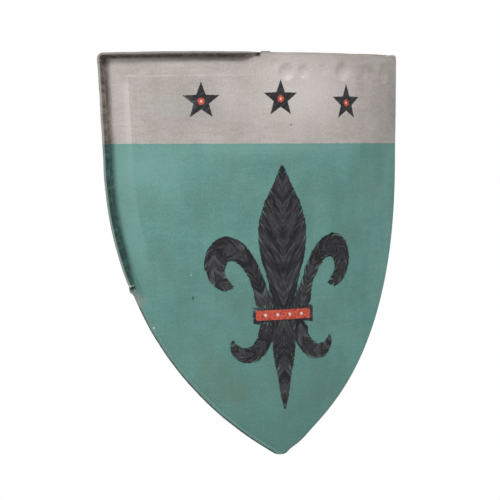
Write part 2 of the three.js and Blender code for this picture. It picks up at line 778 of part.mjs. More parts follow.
function addArmStrap() {
  const place = fittingPlace(armStrapPlace, 0);
  const bar = new THREE.Vector2(stapleRise, armHalfSpan);
  const heel = bar.clone().addScaledVector(downAndOut, chapeLength);
  addStaple('arm_staple_low', fittingPlace(armStrapPlace, -armHalfSpan));
  addStaple('arm_staple_high', fittingPlace(armStrapPlace, armHalfSpan));
  addTongue(place);
  addChape(place, bar, heel);
  addKeeper(place, bar);
  addBuckle(place, heel);
}

// A ring for the neck strap, hanging in a clip of bent strip welded to the back above and below it
function addRing(hand) {
  const side = hand < 0 ? 'left' : 'right';
  const place = fittingPlace(hand * ringPlace, topZ - ringDepth);
  const ringPath = roundedPath([
    [-ringHalfWidth, 0, ringCorner], [ringHalfWidth, 0, ringCorner],
    [ringHalfWidth, -ringDrop, ringBow], [-ringHalfWidth, -ringDrop, ringBow],
  ], true, 4);
  const ring = sweep(ringPath, roundSection(ringWireRadius), true)
    .applyMatrix4(uprightPlane).translate(0, ringRise, 0);
  addPiece(`neck_ring_${side}`, ring, 'nickel', place);

  const loop = ringWireRadius + seat + clipThickness / 2;
  const foot = seat + clipThickness / 2;
  const half = (way) => [
    [foot, way * (loop + clipFoot), 0], [foot, way * loop, clipBend],
    [ringRise + loop, way * loop, loop * clipRoundShare],
  ];
  const section = [[-1, -1], [1, -1], [1, 1], [-1, 1]]
    .map(([across, out]) => [across * clipThickness / 2, out * clipWidth / 2]);
  const clip = sweep(roundedPath([...half(-1), ...half(1).reverse()], false, 4), () => section)
    .applyMatrix4(acrossStrap);
  addPiece(`ring_clip_${side}`, clip, 'steel', place);
}

// The pad: a crowned cushion with drawn-in sides, on the bent face
function addPad() {
  const outline = (scale, rise) => Array.from({ length: padSides }, (_, side) => {
    const angle = 2 * Math.PI * (side + 0.5) / padSides;
    const blunt = (value) => Math.sign(value) * Math.abs(value) ** padBluntShare;
    const along = blunt(Math.cos(angle));
    const up = blunt(Math.sin(angle));
    const x = along * (padHalfLength - padPullIn * (1 - up ** 2));
    const z = up * (padHalfWidth - padPullIn * (1 - along ** 2));
    const [faceX, faceY] = offFace(x * scale, seat + rise * padThickness);
    return new THREE.Vector3(faceX, faceY, z * scale);
  });
  const pad = loft(padRingShares.map(([scale, rise]) => outline(scale, rise)));
  addPiece('arm_pad', pad, 'padLeather', fittingPlace(padPlace, 0));
}

addGrip();
addArmStrap();
addRing(-1);
addRing(1);
addPad();

export default shield;
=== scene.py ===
"""Looks of a heater shield of painted sheet steel: its wired rim, straps, buckle, rings and arm pad.

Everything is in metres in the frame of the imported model. The painted front faces -Y and +Z is up.
"""
import math

import bpy
import numpy as np
from mathutils import Matrix, Vector


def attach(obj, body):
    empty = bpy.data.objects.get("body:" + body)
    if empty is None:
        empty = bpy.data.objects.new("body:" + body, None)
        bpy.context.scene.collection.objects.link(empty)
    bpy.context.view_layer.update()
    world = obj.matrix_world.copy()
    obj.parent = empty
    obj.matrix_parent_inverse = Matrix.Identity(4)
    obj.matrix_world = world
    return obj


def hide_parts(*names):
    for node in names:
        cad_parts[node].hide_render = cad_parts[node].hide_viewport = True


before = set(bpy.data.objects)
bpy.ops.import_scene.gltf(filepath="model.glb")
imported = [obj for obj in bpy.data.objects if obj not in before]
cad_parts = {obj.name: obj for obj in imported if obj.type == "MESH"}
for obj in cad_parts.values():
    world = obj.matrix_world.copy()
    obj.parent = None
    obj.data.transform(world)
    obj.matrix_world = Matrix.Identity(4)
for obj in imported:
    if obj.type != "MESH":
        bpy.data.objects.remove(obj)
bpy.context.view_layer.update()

mm = 0.001

# ---------------------------------------------------------------- the sizes of the CAD model
sheet = 1 * mm
panel_height = 601 * mm
top_half_width, shoulder_half_width, shoulder_depth = 266 * mm, 259 * mm, 155 * mm
left_corner, right_corner, tip_radius = 4 * mm, 3 * mm, 14 * mm
bend_radius = 390 * mm
inner_radius = bend_radius - sheet
axis_y, top_z = 372.7 * mm, 225 * mm
margin_width, top_margin, margin_drop = 36 * mm, 31 * mm, 3 * mm

fold_radius, wire_radius = 1.5 * mm, 0.7 * mm
roll_inner = wire_radius + 0.25 * mm
roll_outer = roll_inner + sheet
rim_reach = fold_radius + sheet + roll_inner + roll_outer
front_rim, flat_rim, back_rim, torn_rim = 14 * mm, 6.5 * mm, 12 * mm, 5 * mm
flat_lean, sway_angle, roll_sweep = math.radians(24), math.radians(2.5), math.radians(285)
tear_start, tear_end, tear_slope, tear_taper, torn_lip = -29 * mm, -9 * mm, 2.5 * mm, 28 * mm, 4.5 * mm
kink_depth, kink_half = 350 * mm, 7 * mm

seat = 0.3 * mm
rod, rod_bend = 2 * mm, 3.2 * mm
staple_rise, staple_foot = 10 * mm, 14 * mm
leather, seam, strap_width = 3.2 * mm, 0.3 * mm, 30 * mm
fold_taper, fold_tail = 14 * mm, 33 * mm
rivet_place, rivet_spread = 24 * mm, 8 * mm
grip_arc, grip_half = -105 * mm, 62 * mm
arm_arc, arm_half = 88 * mm, 78 * mm
chape_length, chape_gap, buckle_length = 76 * mm, 2 * mm, 30 * mm
ring_arc, ring_depth = 168 * mm, 72 * mm
pad_arc, pad_long, pad_high, pad_thick = 37 * mm, 97 * mm, 56 * mm, 16 * mm


# ---------------------------------------------------------------- meshes from arrays
def add_object(name, data):
    """A new object in the scene."""
    holder = bpy.data.objects.new(name, data)
    bpy.context.scene.collection.objects.link(holder)
    return holder


def mesh_object(name, points, faces):
    """A new object whose mesh is points and arrays of faces."""
    mesh = bpy.data.meshes.new(name)
    mesh.from_pydata(points.tolist(), [], [corners for face in faces for corners in face.tolist()])
    return add_object(name, mesh)


def grid_faces(rows, columns, wrap=False):
    """Quads between neighbouring points of a grid that is stored row by row. A wrapped grid also
    joins its last column to its first."""
    row, column = np.meshgrid(np.arange(rows - 1), np.arange(columns if wrap else columns - 1), indexing="ij")
    after = (column + 1) % columns
    quads = np.stack([row * columns + column, (row + 1) * columns + column,
                      (row + 1) * columns + after, row * columns + after], -1)
    return quads.reshape(-1, 4)


def tube_faces(rows, columns):
    """The faces of a tube of closed rings, with a cap on the first ring and on the last."""
    ring = np.arange(columns)[None]
    return [grid_faces(rows, columns, wrap=True), ring[:, ::-1], (rows - 1) * columns + ring]


def looped_faces(rows, columns):
    """The faces of a tube of closed rings whose last ring is joined to its first."""
    return [grid_faces(rows + 1, columns, wrap=True) % (rows * columns)]


def facing_out(points, faces):
    """The same faces, turned round when the volume that they enclose comes out negative."""
    volume = 0.0
    for face in faces:
        corners = points[face]
        fans = np.cross(corners[..., 1:-1, :], corners[..., 2:, :])
        volume += float((corners[..., :1, :] * fans).sum())
    return faces if volume > 0 else [face[..., ::-1] for face in faces]


def joined(shapes):
    """Several shapes as one, each turned to face outwards. A shape is points and arrays of faces."""
    points, faces, start = [], [], 0
    for shape_points, shape_faces in shapes:
        points.append(shape_points)
        faces += [face + start for face in facing_out(shape_points, shape_faces)]
        start += len(shape_points)
    return np.vstack(points), faces


def make_piece(name, shape, material, body="shield", stands_for=()):
    """A closed smooth mesh that rides on a body, with its material."""
    points, faces = joined([shape])
    piece = mesh_object(name, points, faces)
    piece.data.polygons.foreach_set("use_smooth", np.ones(len(piece.data.polygons), bool))
    piece.data.materials.append(material)
    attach(piece, body)
    if stands_for:
        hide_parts(*stands_for)
    return piece


def store(piece, name, values):
    """Keeps one number or one vector for each point of a piece, for its material to read."""
    values = np.asarray(values, np.float32)
    kind, field = ("FLOAT", "value") if values.ndim == 1 else ("FLOAT_VECTOR", "vector")
    piece.data.attributes.new(name, kind, "POINT").data.foreach_set(field, values.ravel())


def coordinates(piece):
    """The points of a piece's mesh."""
    flat = np.zeros(len(piece.data.vertices) * 3)
    piece.data.vertices.foreach_get("co", flat)
    return flat.reshape(-1, 3)


def settle_mesh(piece):
    """Makes what the modifiers give the piece's own mesh, and removes them."""
    bpy.context.view_layer.update()
    result = bpy.data.meshes.new_from_object(piece.evaluated_get(bpy.context.evaluated_depsgraph_get()))
    piece.modifiers.clear()
    piece.data = result


def soft_step(value, low, high):
    """Rises smoothly from 0 at low to 1 at high."""
    share = np.clip((value - low) / (high - low), 0, 1)
    return share * share * (3 - 2 * share)


def bell(value, middle, reach):
    """1 in the middle, falling to 0 on both sides as exp(-x²), where x counts in reaches."""
    return np.exp(-((value - middle) / reach) ** 2)


def run_along(path):
    """How far along a path each of its points lies."""
    return np.concatenate([[0], np.cumsum(np.linalg.norm(np.diff(path, axis=0), axis=1))])


def wander(value, seed, wavelength, count=5):
    """A smooth irregular line between about -1 and 1: a sum of sines of unrelated lengths."""
    rng = np.random.default_rng(seed)
    total = np.zeros_like(np.asarray(value, float))
    for _ in range(count):
        total += np.sin(value * 2 * np.pi / (wavelength * rng.uniform(0.6, 1.9)) + rng.uniform(0, 6.3))
    return total / math.sqrt(count) / 1.4


# ---------------------------------------------------------------- the bent sheet
tip_centre = panel_height - tip_radius
tip_run = tip_centre - shoulder_depth
side_square = shoulder_half_width ** 2 + tip_run ** 2 - tip_radius ** 2
side_radius = side_square / (2 * (shoulder_half_width - tip_radius))
tip_angle = math.asin(tip_run / (side_radius - tip_radius))
tip_start = shoulder_depth + side_radius * math.sin(tip_angle)


def arc_of(radius, along):
    """The height of a circle over a place along its diameter: the root of r² - x²."""
    return np.sqrt(np.maximum(radius ** 2 - along ** 2, 0))


def half_width(depth, corner):
    """Half the width of the panel: straight to the shoulder, then an arc that runs smoothly into a
    small circle at the tip, and a small arc at the top corner."""
    straight = top_half_width + (shoulder_half_width - top_half_width) * depth / shoulder_depth
    side = shoulder_half_width - side_radius + arc_of(side_radius, depth - shoulder_depth)
    rounded = arc_of(tip_radius, depth - tip_centre)
    width = np.where(depth < shoulder_depth, straight, np.where(depth < tip_start, side, rounded))
    return width - corner + arc_of(corner, np.maximum(corner - depth, 0))


def on_sheet(arc, depth, ahead):
    """A point of the bent sheet from its arc off the middle line, its depth below the top and how
    far it lies in front of the front face: the sheet is part of an upright cylinder."""
    angle = arc / bend_radius
    radius = bend_radius + ahead
    return np.stack([radius * np.sin(angle), axis_y - radius * np.cos(angle), top_z - depth], -1)


def margin_fall(arc, depth):
    """How far the margin by the rim lies behind the front: it slopes from a soft crease down to
    the rim, and fades out below the kink and towards the tear."""
    inset = arc + half_width(depth, left_corner)
    top_weight = 1 - soft_step(arc, -70 * mm, -25 * mm)
    left_weight = 1 - soft_step(depth, kink_depth, kink_depth + 90 * mm)
    top = top_weight * np.clip(1 - depth / top_margin, 0, 1)
    left = left_weight * np.clip(1 - inset / margin_width, 0, 1)
    return margin_drop * np.maximum(top, left)


# Round hammer marks along the top: arc, depth, radius and how deep, in millimetres
hammer_marks = [(15, 25, 14, 3.0), (46, 25, 13, 2.2), (119, 24, 16, 2.8), (221, 25, 16, 3.2),
                (-3, 14, 8, 1.0), (82, 22, 10, 0.9), (176, 28, 15, 1.2)]


def relief(arc, depth):
    """The unevenness of a hand-beaten sheet: long waves, round hammer marks with raised lips, and
    a pull forward and a fold where the rim is torn."""
    waves = (wander(arc + 0.35 * depth, 3, 150 * mm) + wander(depth - 0.3 * arc, 4, 170 * mm)) * 0.34 * mm
    waves += wander(arc - 0.2 * depth, 5, 46 * mm) * wander(depth, 6, 60 * mm) * 0.16 * mm
    total = waves * np.clip((panel_height - depth) / (40 * mm), 0, 1)
    for mark_arc, mark_depth, radius, deep in hammer_marks:
        away = np.hypot(arc - mark_arc * mm, depth - mark_depth * mm) / (radius * mm)
        total += mm * deep * (0.2 * bell(away, 1.08, 0.2) - np.clip(1 - away ** 2, 0, 1) ** 1.2)
    pull = bell(arc + 0.5 * depth, -24 * mm, 11 * mm) * bell(depth, 0, 20 * mm)
    fold_line = bell(arc - 0.9 * depth, -34 * mm, 4 * mm) * bell(depth, 0, 16 * mm)
    return total + 1.3 * mm * pull - 0.5 * mm * fold_line


def roll_place(height, lean):
    """The way up and the way out of the rim's leaning wall, and the middle of its roll, at each
    point of the edge."""
    rise, out = np.stack([np.sin(lean), np.cos(lean)], -1), np.stack([np.cos(lean), -np.sin(lean)], -1)
    wall = (height - fold_radius - roll_outer)[:, None]
    return rise, out, np.array([0, fold_radius]) + rise * wall + out * (fold_radius + sheet + roll_inner)


def rim_section(height, lean):
    """The rim's section at each point of the edge, as points [out, ahead] from the edge of the front
    face: round the fold, up the wall, round the roll, back inside it, down the wall and round to
    the rear face."""
    rise, out, roll_centre = (vector[:, None] for vector in roll_place(height, lean))

    def fold(radius):
        """An arc about the middle of the fold, from the front face to the wall."""
        angle = np.linspace(-math.pi / 2, -lean, 6, axis=-1)
        return np.array([0, fold_radius]) + radius * np.stack([np.cos(angle), np.sin(angle)], -1)

    def roll(radius, steps):
        """An arc about the middle of the roll."""
        angle = np.linspace(math.pi, math.pi - roll_sweep, steps)[:, None]
        return roll_centre + radius * (out * np.cos(angle) + rise * np.sin(angle))

    def wall_points(start, end):
        """Two points of a straight line, a third of the way from each end."""
        return start + (end - start) * np.array([[0.33], [0.67]])

    inner, outer = fold(fold_radius), fold(fold_radius + sheet)
    front_roll, back_roll = roll(roll_outer, 13), roll(roll_inner, 9)[:, ::-1]
    return np.concatenate([inner, wall_points(inner[:, -1:], front_roll[:, :1]), front_roll, back_roll,
                           wall_points(back_roll[:, -1:], outer[:, -1:]), outer[:, ::-1]], axis=1)


# How far round the section each of its points is: 0 at the front face, 1 at the end of the roll, 2 at
# the rear face
section_share = np.concatenate([np.linspace(0, 0.25, 6), [0.33, 0.42], np.linspace(0.5, 1, 13),
                                np.linspace(1, 1.5, 9), [1.6, 1.7], np.linspace(1.75, 2, 6)])
section_count = len(section_share)


def plain_edge():
    """The bare edge of the sheet, with as many points as the rim's section: half a circle."""
    angle = math.pi / 2 - math.pi * np.linspace(0, 1, section_count)
    return np.stack([sheet / 2 * np.cos(angle), -sheet / 2 + sheet / 2 * np.sin(angle)], -1)


def sheet_grid():
    """The front of the sheet as a grid that is closer round the tear and the tip: its points [arc,
    depth] with the tip as the last one, its faces, its size, and the points round its edge, from the
    top left corner by the right side."""
    fine, finer = 3.2 * mm, 1.2 * mm
    depths = np.concatenate([left_corner * np.array([0, 0.05, 0.18, 0.4, 0.7, 1]),
                             np.arange(left_corner + fine, tip_start - fine / 2, fine),
                             tip_centre + tip_radius * np.sin(np.linspace(tip_angle, math.pi / 2, 8)[:-1])])
    before_tear, after_tear = tear_start - 4 * mm, tear_end + 4 * mm
    stops = np.concatenate([np.arange(-top_half_width, before_tear, fine),
                            np.arange(before_tear, after_tear, finer),
                            np.arange(after_tear, top_half_width - fine / 2, fine), [top_half_width]])
    depth, share = np.meshgrid(depths, stops / top_half_width, indexing="ij")
    arc = share * np.where(share < 0, half_width(depth, left_corner), half_width(depth, right_corner))
    rows, columns = depth.shape
    flat = np.vstack([np.stack([arc, depth], -1).reshape(-1, 2), [0, panel_height]])
    tip = len(flat) - 1
    last_row = (rows - 1) * columns + np.arange(columns - 1)
    faces = [grid_faces(rows, columns), np.stack([last_row, np.full(columns - 1, tip), last_row + 1], -1)]
    order = np.concatenate([np.arange(columns), np.arange(1, rows) * columns + columns - 1, [tip],
                            np.arange(rows - 1, 0, -1) * columns])
    return flat, faces, rows, columns, order


def make_sheet_piece(material):
    """The whole sheet with its rim as one closed shell: a front and a rear grid, whose edges are
    joined by the rim's section carried round the outline."""
    flat, (quads, tip_fan), rows, columns, order = sheet_grid()
    ahead = relief(flat[:, 0], flat[:, 1]) - margin_fall(flat[:, 0], flat[:, 1])
    ahead[-1] = 0
    count = len(flat)
    on_top = np.arange(len(order)) < columns
    edge_arc, edge_depth = flat[order].T
    before, after = np.roll(flat[order], 1, 0), np.roll(flat[order], -1, 0)
    outward = np.stack([after[:, 1] - before[:, 1], before[:, 0] - after[:, 0]], -1)
    outward /= np.linalg.norm(outward, axis=1)[:, None]
    run = run_along(flat[order])

    # how high the rim stands, how it leans and how far it reaches out, at each point of the edge
    torn = on_top & (edge_arc > tear_start + tear_slope / 2) & (edge_arc < tear_end - tear_slope / 2)
    turned_back = np.where(on_top, edge_arc > tear_end - tear_slope, edge_arc > 0)
    squared = (np.abs(outward) ** 7).sum(1) ** (-1 / 7)
    at_corner = turned_back & (edge_depth < right_corner)
    outward *= np.where(at_corner, squared + (squared - 1) * right_corner / rim_reach, 1)[:, None]
    kink = kink_depth + 3 * mm
    flattened = soft_step(edge_depth, kink - kink_half, kink + kink_half) * ~on_top
    run_out = np.where(on_top, soft_step(edge_arc, tear_start - tear_taper, tear_start), 0)
    height = front_rim + (flat_rim - front_rim) * flattened
    height = height + (torn_rim - height) * run_out
    height = np.where(turned_back, back_rim, height)
    height = height + 0.33 * mm * wander(run, 11, 60 * mm) * (1 - 0.4 * flattened) - 0.13 * mm

    # the top lies a little lower than the CAD model's, and the edge beside the point a little fuller
    sunk = on_top & (edge_arc < tear_start + tear_slope / 2)
    sunk = sunk * (0.2 * soft_step(edge_arc, -170 * mm, -60 * mm) + 0.1 * soft_step(edge_arc, -60 * mm, -34 * mm))
    sunk = sunk + 0.17 * (on_top & turned_back) * (1 - soft_step(edge_arc, 140 * mm, 235 * mm))
    outward *= 0.992 - sunk[:, None]
    full = 1.05 * bell(edge_depth, 590 * mm, 14 * mm) * (edge_arc > 0)
    full = full + 0.5 * bell(edge_depth, 600 * mm, 7 * mm) * (edge_arc < 0)
    outward[:, 0] *= 1 + full

    # the kink throws up a lump, and hand work leaves the lean uneven
    lump = bell(edge_depth, kink_depth + 2 * mm, 6 * mm) * ~on_top * (edge_arc < 0)
    height = height + 1.6 * mm * lump * np.sin(edge_depth / (2.6 * mm))
    sway = sway_angle * wander(run, 12, 75 * mm)
    lean = np.where(turned_back, 0, flat_lean * flattened) + sway - (1 - flattened) * np.maximum(sway, 0)
    lean = lean + math.radians(14) * lump * np.sin(edge_depth / (3.4 * mm))

    # where the rim is whole, blended over a point to each side, and the bare lip where it is torn
    tip_place = columns + rows - 1
    whole = soft_step(np.abs(run - run[tip_place]), 1 * mm, 15 * mm) * ~torn
    whole = np.convolve(np.r_[whole[-1:], whole, whole[:1]], [0.2, 0.6, 0.2], "valid")
    frayed = 0.5 * mm * wander(edge_arc, 13, 9 * mm) + 1.1 * mm * (edge_arc > -27.4 * mm)
    lip = np.minimum(torn_lip + 0.5 * mm + np.where(torn, frayed, 0), 4.8 * mm)
    lip_lift = np.where(torn, 0.9 * mm * np.sin(edge_arc / (2.5 * mm)), -0.2 * mm)

    # the fold is pulled up at the top right corner, and out by the tip
    corner_lift = soft_step(edge_arc, 232 * mm, 256 * mm) * (edge_depth < right_corner)
    corner_lift = corner_lift * np.clip(-outward[:, 1], 0, 1)
    tip_push = 1.5 * mm * bell(edge_depth, 584 * mm, 14 * mm) * (edge_arc > 0)
    nudge = 2.7 * mm * corner_lift[:, None] * [0, -1] + (tip_push * whole)[:, None] * outward
    half_section = np.minimum(section_share, 2 - section_share)
    fold_share = np.interp(half_section, [0, 0.25, 0.5], [0, 1, 0])[::-1]

    section = rim_section(height, lean)
    backward = np.stack([section[..., 0], -sheet - section[..., 1]], -1)[:, ::-1]
    section = np.where(turned_back[:, None, None], backward, section)
    bare = plain_edge() + np.stack([lip, lip_lift], -1)[:, None]
    section = (bare + (section - bare) * whole[:, None, None])[:, 1:-1]
    nudged = flat[order][:, None] + fold_share[1:-1, None] * nudge[:, None]
    chain_flat = (nudged + outward[:, None] * section[..., :1]).reshape(-1, 2)
    chain_ahead = (section[..., 1] + ahead[order][:, None]).ravel()
    inside = section_count - 2
    points = np.vstack([on_sheet(*flat.T, ahead), on_sheet(*flat.T, ahead - sheet),
                        on_sheet(*chain_flat.T, chain_ahead)])
    chain = np.column_stack([order, 2 * count + np.arange(len(order) * inside).reshape(-1, inside), order + count])
    chain = np.vstack([chain, chain[:1]])
    rim_quads = np.stack([chain[:-1, :-1], chain[1:, :-1], chain[1:, 1:], chain[:-1, 1:]], -1).reshape(-1, 4)
    faces = [quads, tip_fan, quads[:, ::-1] + count, tip_fan[:, ::-1] + count, rim_quads]
    piece = make_piece("painted_sheet", (points, faces), material, stands_for=["shield_skin"])

    # what the paint needs to know of each point of the front, the rear and the rim
    def keep(name, front, back, rim):
        """Stores a value for each point, in the order of the mesh: front, rear, then rim."""
        on_rim = np.broadcast_to(rim, (len(order), inside)).ravel()
        store(piece, name, np.concatenate([front + np.zeros(count), back + np.zeros(count), on_rim]))

    flat_all = np.vstack([flat, flat, chain_flat])
    store(piece, "flat_place", np.column_stack([flat_all, np.append(np.zeros(2 * count), np.repeat(run, inside))]))
    turn, flat_share, share = turned_back[:, None], flattened[:, None], section_share[None, 1:-1]
    inset = np.minimum(flat[:, 1], half_width(flat[:, 1], left_corner) - np.abs(flat[:, 0]))
    keep("inset", inset, inset, -1 * mm)
    left_inset = flat[:, 0] + half_width(flat[:, 1], left_corner)
    keep("from_left", left_inset, left_inset, -1 * mm)
    step = np.arange(1, section_count - 1)[None]
    bare_of_paint = np.where(turn, ((step > 7) & (step < 15)) | (step > 28),
                             ((step > 22) & (step < 30)) | (step > 35))
    keep("rear", 0, 1, np.where(whole[:, None] < 0.5, step > section_count / 2, bare_of_paint))

    # painted shade, with some dirt, lies in the corner inside the standing rim and under the top rim, and on the
    # rim's own flanks
    reach = (0.9 + 5.8 * (1 - soft_step(flat[:, 1], 290 * mm, 355 * mm))) * mm
    shade_and_dirt_by_left_rim = (1 - soft_step(left_inset, 0.25 * reach, 1.6 * reach)) * (flat[:, 0] < 0)
    shade_and_dirt_by_left_rim = shade_and_dirt_by_left_rim * (1 - 0.85 * soft_step(flat[:, 1], 338 * mm, 358 * mm))
    top_reach = (5.5 + 3.5 * soft_step(flat[:, 0], -200 * mm, -110 * mm)) * mm
    shade_and_dirt_under_top = (1 - soft_step(flat[:, 1], 1.5 * mm, top_reach)) * (1 - soft_step(flat[:, 0], -60 * mm, -32 * mm))
    # on the rim: painted shade on the inner wall of the standing rim, a line of painted shade along the outer part
    # of the flattened rim, and a little over the turned-back rim
    standing_shade_and_dirt = np.where(turn, 0.22, 1 - soft_step(share, 0.50, 0.62)) * (1 - 0.3 * run_out[:, None])
    flat_shade_and_dirt = np.where(turn, 0.22, 0.95 * soft_step(share, 0.55, 0.62))
    keep("painted_shade_and_dirt", np.maximum(shade_and_dirt_by_left_rim, shade_and_dirt_under_top), 0, standing_shade_and_dirt + (flat_shade_and_dirt - standing_shade_and_dirt) * flat_share)

    # the strip of worn steel along the roll, painted shade for the dark of the hole at the tear, and painted light
    # over the shade of the fold low on the rim
    standing_strip = soft_step(share, 0.52, 0.66)
    flat_strip = 0.4 * soft_step(share, 0.42, 0.58)
    strip = np.where(turn, 0.35, standing_strip + (flat_strip - standing_strip) * flat_share)
    keep("strip", 0, 0, strip * whole[:, None])
    hole = bell(flat[:, 0], tear_start - 2 * mm, 3.5 * mm) * bell(flat[:, 1], 0, 3 * mm)
    rim_hole_shade = bell(edge_arc, tear_start - 3.5 * mm, 3.6 * mm) * on_top
    keep("hole", hole, 0, rim_hole_shade[:, None] * (1 - soft_step(share, 0.62, 0.70)))
    keep("painted_light_fold", 0, 0, (1 - soft_step(share, 0.30, 0.50)) * flat_share * (1 - turn))
    for name, values in paint_shapes(*flat_all.T / mm).items():
        store(piece, name, values)
    store(piece, "heat", weld_heat(*flat_all.T))
    return flat[order], outward, height, lean, turned_back, whole, ahead[order]


# ---------------------------------------------------------------- the painted shapes
def curve_through(corners, steps=6):
    """A closed line through its corners, rounded between them: a centripetal blend of four
    neighbouring corners at a time."""
    corners = np.asarray(corners, float)
    p0, p1, p2, p3 = (np.roll(corners, shift, 0)[:, None] for shift in (1, 0, -1, -2))
    t = np.linspace(0, 1, steps, endpoint=False)[None, :, None]
    curve = 0.5 * (2 * p1 + (p2 - p0) * t + (2 * p0 - 5 * p1 + 4 * p2 - p3) * t ** 2
                   + (3 * p1 - p0 - 3 * p2 + p3) * t ** 3)
    return curve.reshape(-1, 2)


def beside_line(start, end, across, upward):
    """How far along a straight line each place's nearest point is, as a share, and how far away."""
    (ax, ay), (bx, by) = start, end
    dx, dy = bx - ax, by - ay
    share = np.clip(((across - ax) * dx + (upward - ay) * dy) / max(dx * dx + dy * dy, 1e-9), 0, 1)
    return share, np.hypot(across - ax - share * dx, upward - ay - share * dy)


def distance_to(outline, across, upward):
    """Signed distance to a closed outline, less than 0 inside: the least distance to its
    segments, with the sign from counting the segments that a level line crosses."""
    least = np.full(across.shape, 1e6)
    crossings = np.zeros(across.shape, int)
    for start, end in zip(outline, np.roll(outline, -1, 0)):
        least = np.minimum(least, beside_line(start, end, across, upward)[1])
        (ax, ay), (bx, by) = start, end
        if ay != by:
            level = (upward >= min(ay, by)) & (upward < max(ay, by))
            crossings += level & (across < ax + (upward - ay) * (bx - ax) / (by - ay))
    return np.where(crossings % 2 == 1, -least, least)


def mirrored(corners):
    """The same corners on the other side of the middle, in the order that goes on round."""
    return [(-x, y) for x, y in corners][::-1]


# The design, in millimetres across and up from the lily's centre. Places of centres are arc and depth
lily_centre = (6, 392)
middle_leaf = [(0, 226), (14, 200), (30, 168), (40, 132), (37, 92), (25, 50), (17, 13)]
lily_leaf = [(19, 14), (30, 50), (44, 84), (66, 112), (94, 121), (116, 106), (123, 78), (114, 52), (95, 39),
             (78, 44), (86, 54), (92, 68), (88, 82), (75, 82), (61, 66), (50, 42), (43, 14)]
lily_foot = [(13, -14), (22, -46), (42, -68), (68, -70), (85, -52), (82, -35), (71, -46), (57, -47), (43, -34),
             (38, -14)]
lower_leaf = [(14, -14), (19, -48), (12, -92), (0, -146)]
# The middle line of each leaf, from its root to its point, that the brush followed
leaf_ribs = [[(0, 10), (0, 230)], [(0, -10), (0, -150)],
             [(30, 10), (39, 46), (53, 78), (72, 98), (94, 103), (108, 92), (108, 68), (98, 50), (80, 42)],
             [(26, -10), (33, -40), (50, -58), (66, -59), (80, -48), (83, -36)]]
star_places, star_radius = [(-118, 69), (5, 66), (126, 72)], 29 * mm


def along_rib(rib, across, upward):
    """How far along a leaf's middle line each point lies, and how far beside it."""
    least = np.full(across.shape, 1e6)
    along, beside = np.zeros(across.shape), np.zeros(across.shape)
    run = 0
    for (ax, ay), (bx, by) in zip(rib[:-1], rib[1:]):
        share, away = beside_line((ax, ay), (bx, by), across, upward)
        closer = away < least
        length = math.hypot(bx - ax, by - ay)
        along = np.where(closer, run + share * length, along)
        side = np.sign((across - ax) * (by - ay) - (upward - ay) * (bx - ax))
        beside = np.where(closer, side * away, beside)
        least = np.where(closer, away, least)
        run += length
    return along, beside


def paint_shapes(arc, depth):
    """How far each point of the sheet lies from the edge of the painted shapes, in millimetres:
    the black lily, the red on its collar, and the white touches on that. The stroke is where a
    point lies along and beside the middle line of its leaf, in metres."""
    across, upward = arc - lily_centre[0], lily_centre[1] - depth
    leaves = [(middle_leaf + mirrored(middle_leaf)[:-1], leaf_ribs[0]),
              (lower_leaf + mirrored(lower_leaf)[1:], leaf_ribs[1])]
    for leaf, rib in ((lily_leaf, leaf_ribs[2]), (lily_foot, leaf_ribs[3])):
        leaves += [(leaf, rib), (mirrored(leaf), mirrored(rib)[::-1])]
    ink = np.full(arc.shape, 1e6)
    stroke = np.zeros((len(arc), 3))
    leaf_step = 40.0
    for number, (leaf, rib) in enumerate(leaves):
        distance = distance_to(curve_through(leaf), across, upward)
        closer = distance < ink
        beside_rib = [*along_rib(rib, across, upward), np.full(len(arc), leaf_step * number)]
        stroke[closer] = np.column_stack(beside_rib)[closer] * mm
        ink = np.where(closer, distance, ink)
    ink = np.minimum(ink, np.maximum(np.abs(across) - 50, np.abs(upward) - 12.5))
    red = np.maximum(np.abs(across) - 45, np.abs(upward) - 7.5)
    white = np.minimum.reduce([np.hypot(across - touch, upward) - 2.6 for touch in (-30, -10, 10, 30)])
    return {"ink": ink, "red": red, "white": white, "stroke": stroke}


# ---------------------------------------------------------------- shader helpers
class Wire:
    """What comes out of a shader node. A sum that is written with it adds a node to its tree."""
    def __init__(self, tree, socket):
        self.tree, self.socket = tree, socket

    def __add__(self, other):
        return maths("ADD", self, other)

    def __radd__(self, other):
        return maths("ADD", other, self)

    def __sub__(self, other):
        return maths("SUBTRACT", self, other)

    def __rsub__(self, other):
        return maths("SUBTRACT", other, self)

    def __mul__(self, other):
        return maths("MULTIPLY", self, other)

    def __truediv__(self, other):
        return maths("DIVIDE", self, other)

    def __abs__(self):
        return maths("ABSOLUTE", self)


def fill(tree, inputs, sockets):
    """Gives sockets their values, or a link where the value is a wire."""
    for name, value in sockets.items():
        if isinstance(value, Wire):
            tree.links.new(value.socket, inputs[name])
        else:
            inputs[name].default_value = value


def put(tree, kind, sockets=None, take=0, **settings):
    """Adds a shader node with its settings and gives its output as a wire."""
    node = tree.nodes.new("ShaderNode" + kind)
    for name, value in settings.items():
        setattr(node, name, value)
    fill(tree, node.inputs, sockets or {})
    return Wire(tree, node.outputs[take])


def maths(operation, *values):
    """One sum of numbers, or of vectors where the first wire is one."""
    first = next(value for value in values if isinstance(value, Wire))
    kind = "VectorMath" if first.socket.type == "VECTOR" else "Math"
    return put(first.tree, kind, dict(enumerate(values)), operation=operation)


def most(one, two):
    """The greater of two values."""
    return maths("MAXIMUM", one, two)


def between(value, low, high, start=0.0, end=1.0):
    """Start where the value is low, end where it is high, and a smooth change between them."""
    ends = {"From Min": low, "From Max": high, "To Min": start, "To Max": end}
    return put(value.tree, "MapRange", {"Value": value, **ends}, interpolation_type="SMOOTHSTEP")


def mixed(share, one, two):
    """Colour one where the share is 0 and colour two where it is 1."""
    tree = next(value.tree for value in (share, one) if isinstance(value, Wire))
    return put(tree, "Mix", {0: share, 6: one, 7: two}, take=2, data_type="RGBA")


